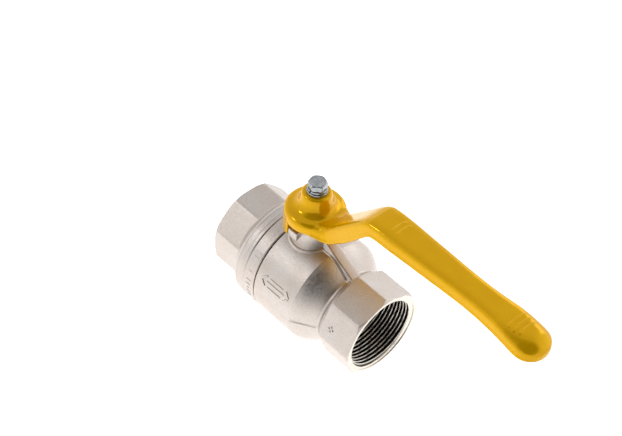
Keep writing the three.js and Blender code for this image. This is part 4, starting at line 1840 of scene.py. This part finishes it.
class VALVE_OT_set_studio(bpy.types.Operator):
    """Sets the pale floor, the white surround, the soft lights and the camera"""

    bl_idname = "valve.set_studio"
    bl_label = "Set Studio"

    def execute(self, context):
        scene = context.scene
        settings = scene.valve_studio
        scene.view_settings.view_transform = "Standard"
        self.floor(scene, settings)
        self.surround(scene, settings)
        self.lights(scene)
        self.camera(scene, settings)
        return {"FINISHED"}

    def floor(self, scene, settings):
        """A wide, pale and slightly mottled floor under the barrel, with a painted glow that is
        brightest under the valve.
        """
        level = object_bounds()[0].z / MM - 0.02
        reach = 6000
        sides = ((-1, -1), (1, -1), (1, 1), (-1, 1))
        corners = [(x * reach, y * reach, level) for x, y in sides]
        made = Finish("studio_floor")
        tone = tuple(scene.valve_colours.floor)
        clouds = made.ramp(made.noise(240, 3), 0.35, 0.65)
        # Painted glow: the floor emits light, strongest under the valve and fading outward, which
        # lightens the valve's underside and its shadow.
        painted_floor_glow = made.ramp(made.distance(), 0.05, 0.32, settings.glow, 0.42 * settings.glow)
        made.feed(made.shader.inputs["Emission Strength"], painted_floor_glow)
        mottled = made.mix(clouds, tone, shifted(tone, 0.985))
        made.done(mottled, Roughness=0.9, Emission_Color=(1, 1, 1, 1))
        plane = mesh_object("studio_floor", corners, [(0, 1, 2, 3)], [made.material])
        plane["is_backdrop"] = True

    def surround(self, scene, settings):
        """A white room with a dim corner in front and a bright one behind, for the metal to mirror."""
        world = bpy.data.worlds.new("studio_surround")
        scene.world = world
        world.use_nodes = True
        made = Nodes(world.node_tree)
        place = made.node("ShaderNodeTexCoord").outputs["Generated"]
        height = made.node("ShaderNodeSeparateXYZ", [(0, place)]).outputs["Z"]
        brightness = made.ramp(height, 0, 1, settings.surround, settings.overhead)
        for aim, inner, outer, share in (
            ((0.5, -0.5, 0.68), 29, 54, settings.shade),
            ((0.42, 0.78, 0.47), 15, 50, 1.4),
        ):
            inputs = [(0, place), (1, Vector(aim).normalized())]
            toward = made.node("ShaderNodeVectorMath", inputs, operation="DOT_PRODUCT")
            edge, full = math.cos(math.radians(outer)), math.cos(math.radians(inner))
            patch = made.ramp(toward.outputs["Value"], edge, full, 1, share, "SMOOTHSTEP")
            brightness = made.maths("MULTIPLY", brightness, patch)
        background = world.node_tree.nodes["Background"]
        made.feed(background.inputs["Strength"], brightness)
        made.feed(background.inputs["Color"], (1, 1, 1, 1))

    def lights(self, scene):
        """Two softboxes: one high in front to the left, one behind."""
        for name, place, size, power in (
            ("front_softbox", (-0.62, -0.78, 0.80), 0.22, 1.5),
            ("rear_softbox", (-0.1, 1.1, 0.6), 0.6, 1.2),
        ):
            lamp = bpy.data.lights.new(name, "AREA")
            lamp.shape = "SQUARE"
            lamp.size = size
            lamp.energy = power
            holder = bpy.data.objects.new(name, lamp)
            holder.location = place
            holder.rotation_euler = Vector(place).to_track_quat("Z", "Y").to_euler()
            scene.collection.objects.link(holder)

    def camera(self, scene, settings):
        """The camera, from its direction, roll, distance and aim."""
        azimuth, elevation, roll = settings.azimuth, settings.elevation, settings.roll
        back = Vector(
            (
                math.sin(azimuth) * math.cos(elevation),
                -math.cos(azimuth) * math.cos(elevation),
                math.sin(elevation),
            )
        )
        level = Vector((math.cos(azimuth), math.sin(azimuth), 0))
        upward = back.cross(level)
        right = level * math.cos(roll) + upward * math.sin(roll)
        up = upward * math.cos(roll) - level * math.sin(roll)
        view = bpy.data.cameras.new("studio_camera")
        view.lens = settings.lens
        view.sensor_width = 36
        view.clip_start = 0.05
        view.clip_end = 50
        holder = bpy.data.objects.new("studio_camera", view)
        turn = Matrix((right, up, back)).transposed().to_4x4()
        place = Vector(settings.aim) + back * settings.distance
        holder.matrix_world = Matrix.Translation(place) @ turn
        scene.collection.objects.link(holder)
        scene.camera = holder


class VALVE_PT_parts(bpy.types.Panel):
    """Lists the valve's parts in the 3D view's sidebar"""

    bl_idname = "VALVE_PT_parts"
    bl_label = "Ball Valve"
    bl_space_type = "VIEW_3D"
    bl_region_type = "UI"
    bl_category = "Valve"

    def draw(self, context):
        for operator in OPERATORS:
            self.layout.operator(operator.bl_idname)
        for name, group in SETTINGS.items():
            box = self.layout.box()
            for label in group.__annotations__:
                box.prop(getattr(context.scene, name), label)


OPERATORS = (
    VALVE_OT_cast_body,
    VALVE_OT_cast_end_connector,
    VALVE_OT_turn_ball,
    VALVE_OT_turn_seats_and_seals,
    VALVE_OT_turn_stem_and_gland,
    VALVE_OT_cast_lever,
    VALVE_OT_fit_bolt_and_washers,
    VALVE_OT_set_studio,
)


def register():
    for cls in (*SETTINGS.values(), *OPERATORS, VALVE_PT_parts):
        bpy.utils.register_class(cls)
    for name, group in SETTINGS.items():
        setattr(bpy.types.Scene, name, bpy.props.PointerProperty(type=group))


def unregister():
    for name in SETTINGS:
        delattr(bpy.types.Scene, name)
    for cls in reversed((*SETTINGS.values(), *OPERATORS, VALVE_PT_parts)):
        bpy.utils.unregister_class(cls)


def main():
    """Builds the whole valve."""
    register()
    for operator in OPERATORS:
        group, name = operator.bl_idname.split(".")
        getattr(getattr(bpy.ops, group), name)()


if __name__ == "__main__":
    main()
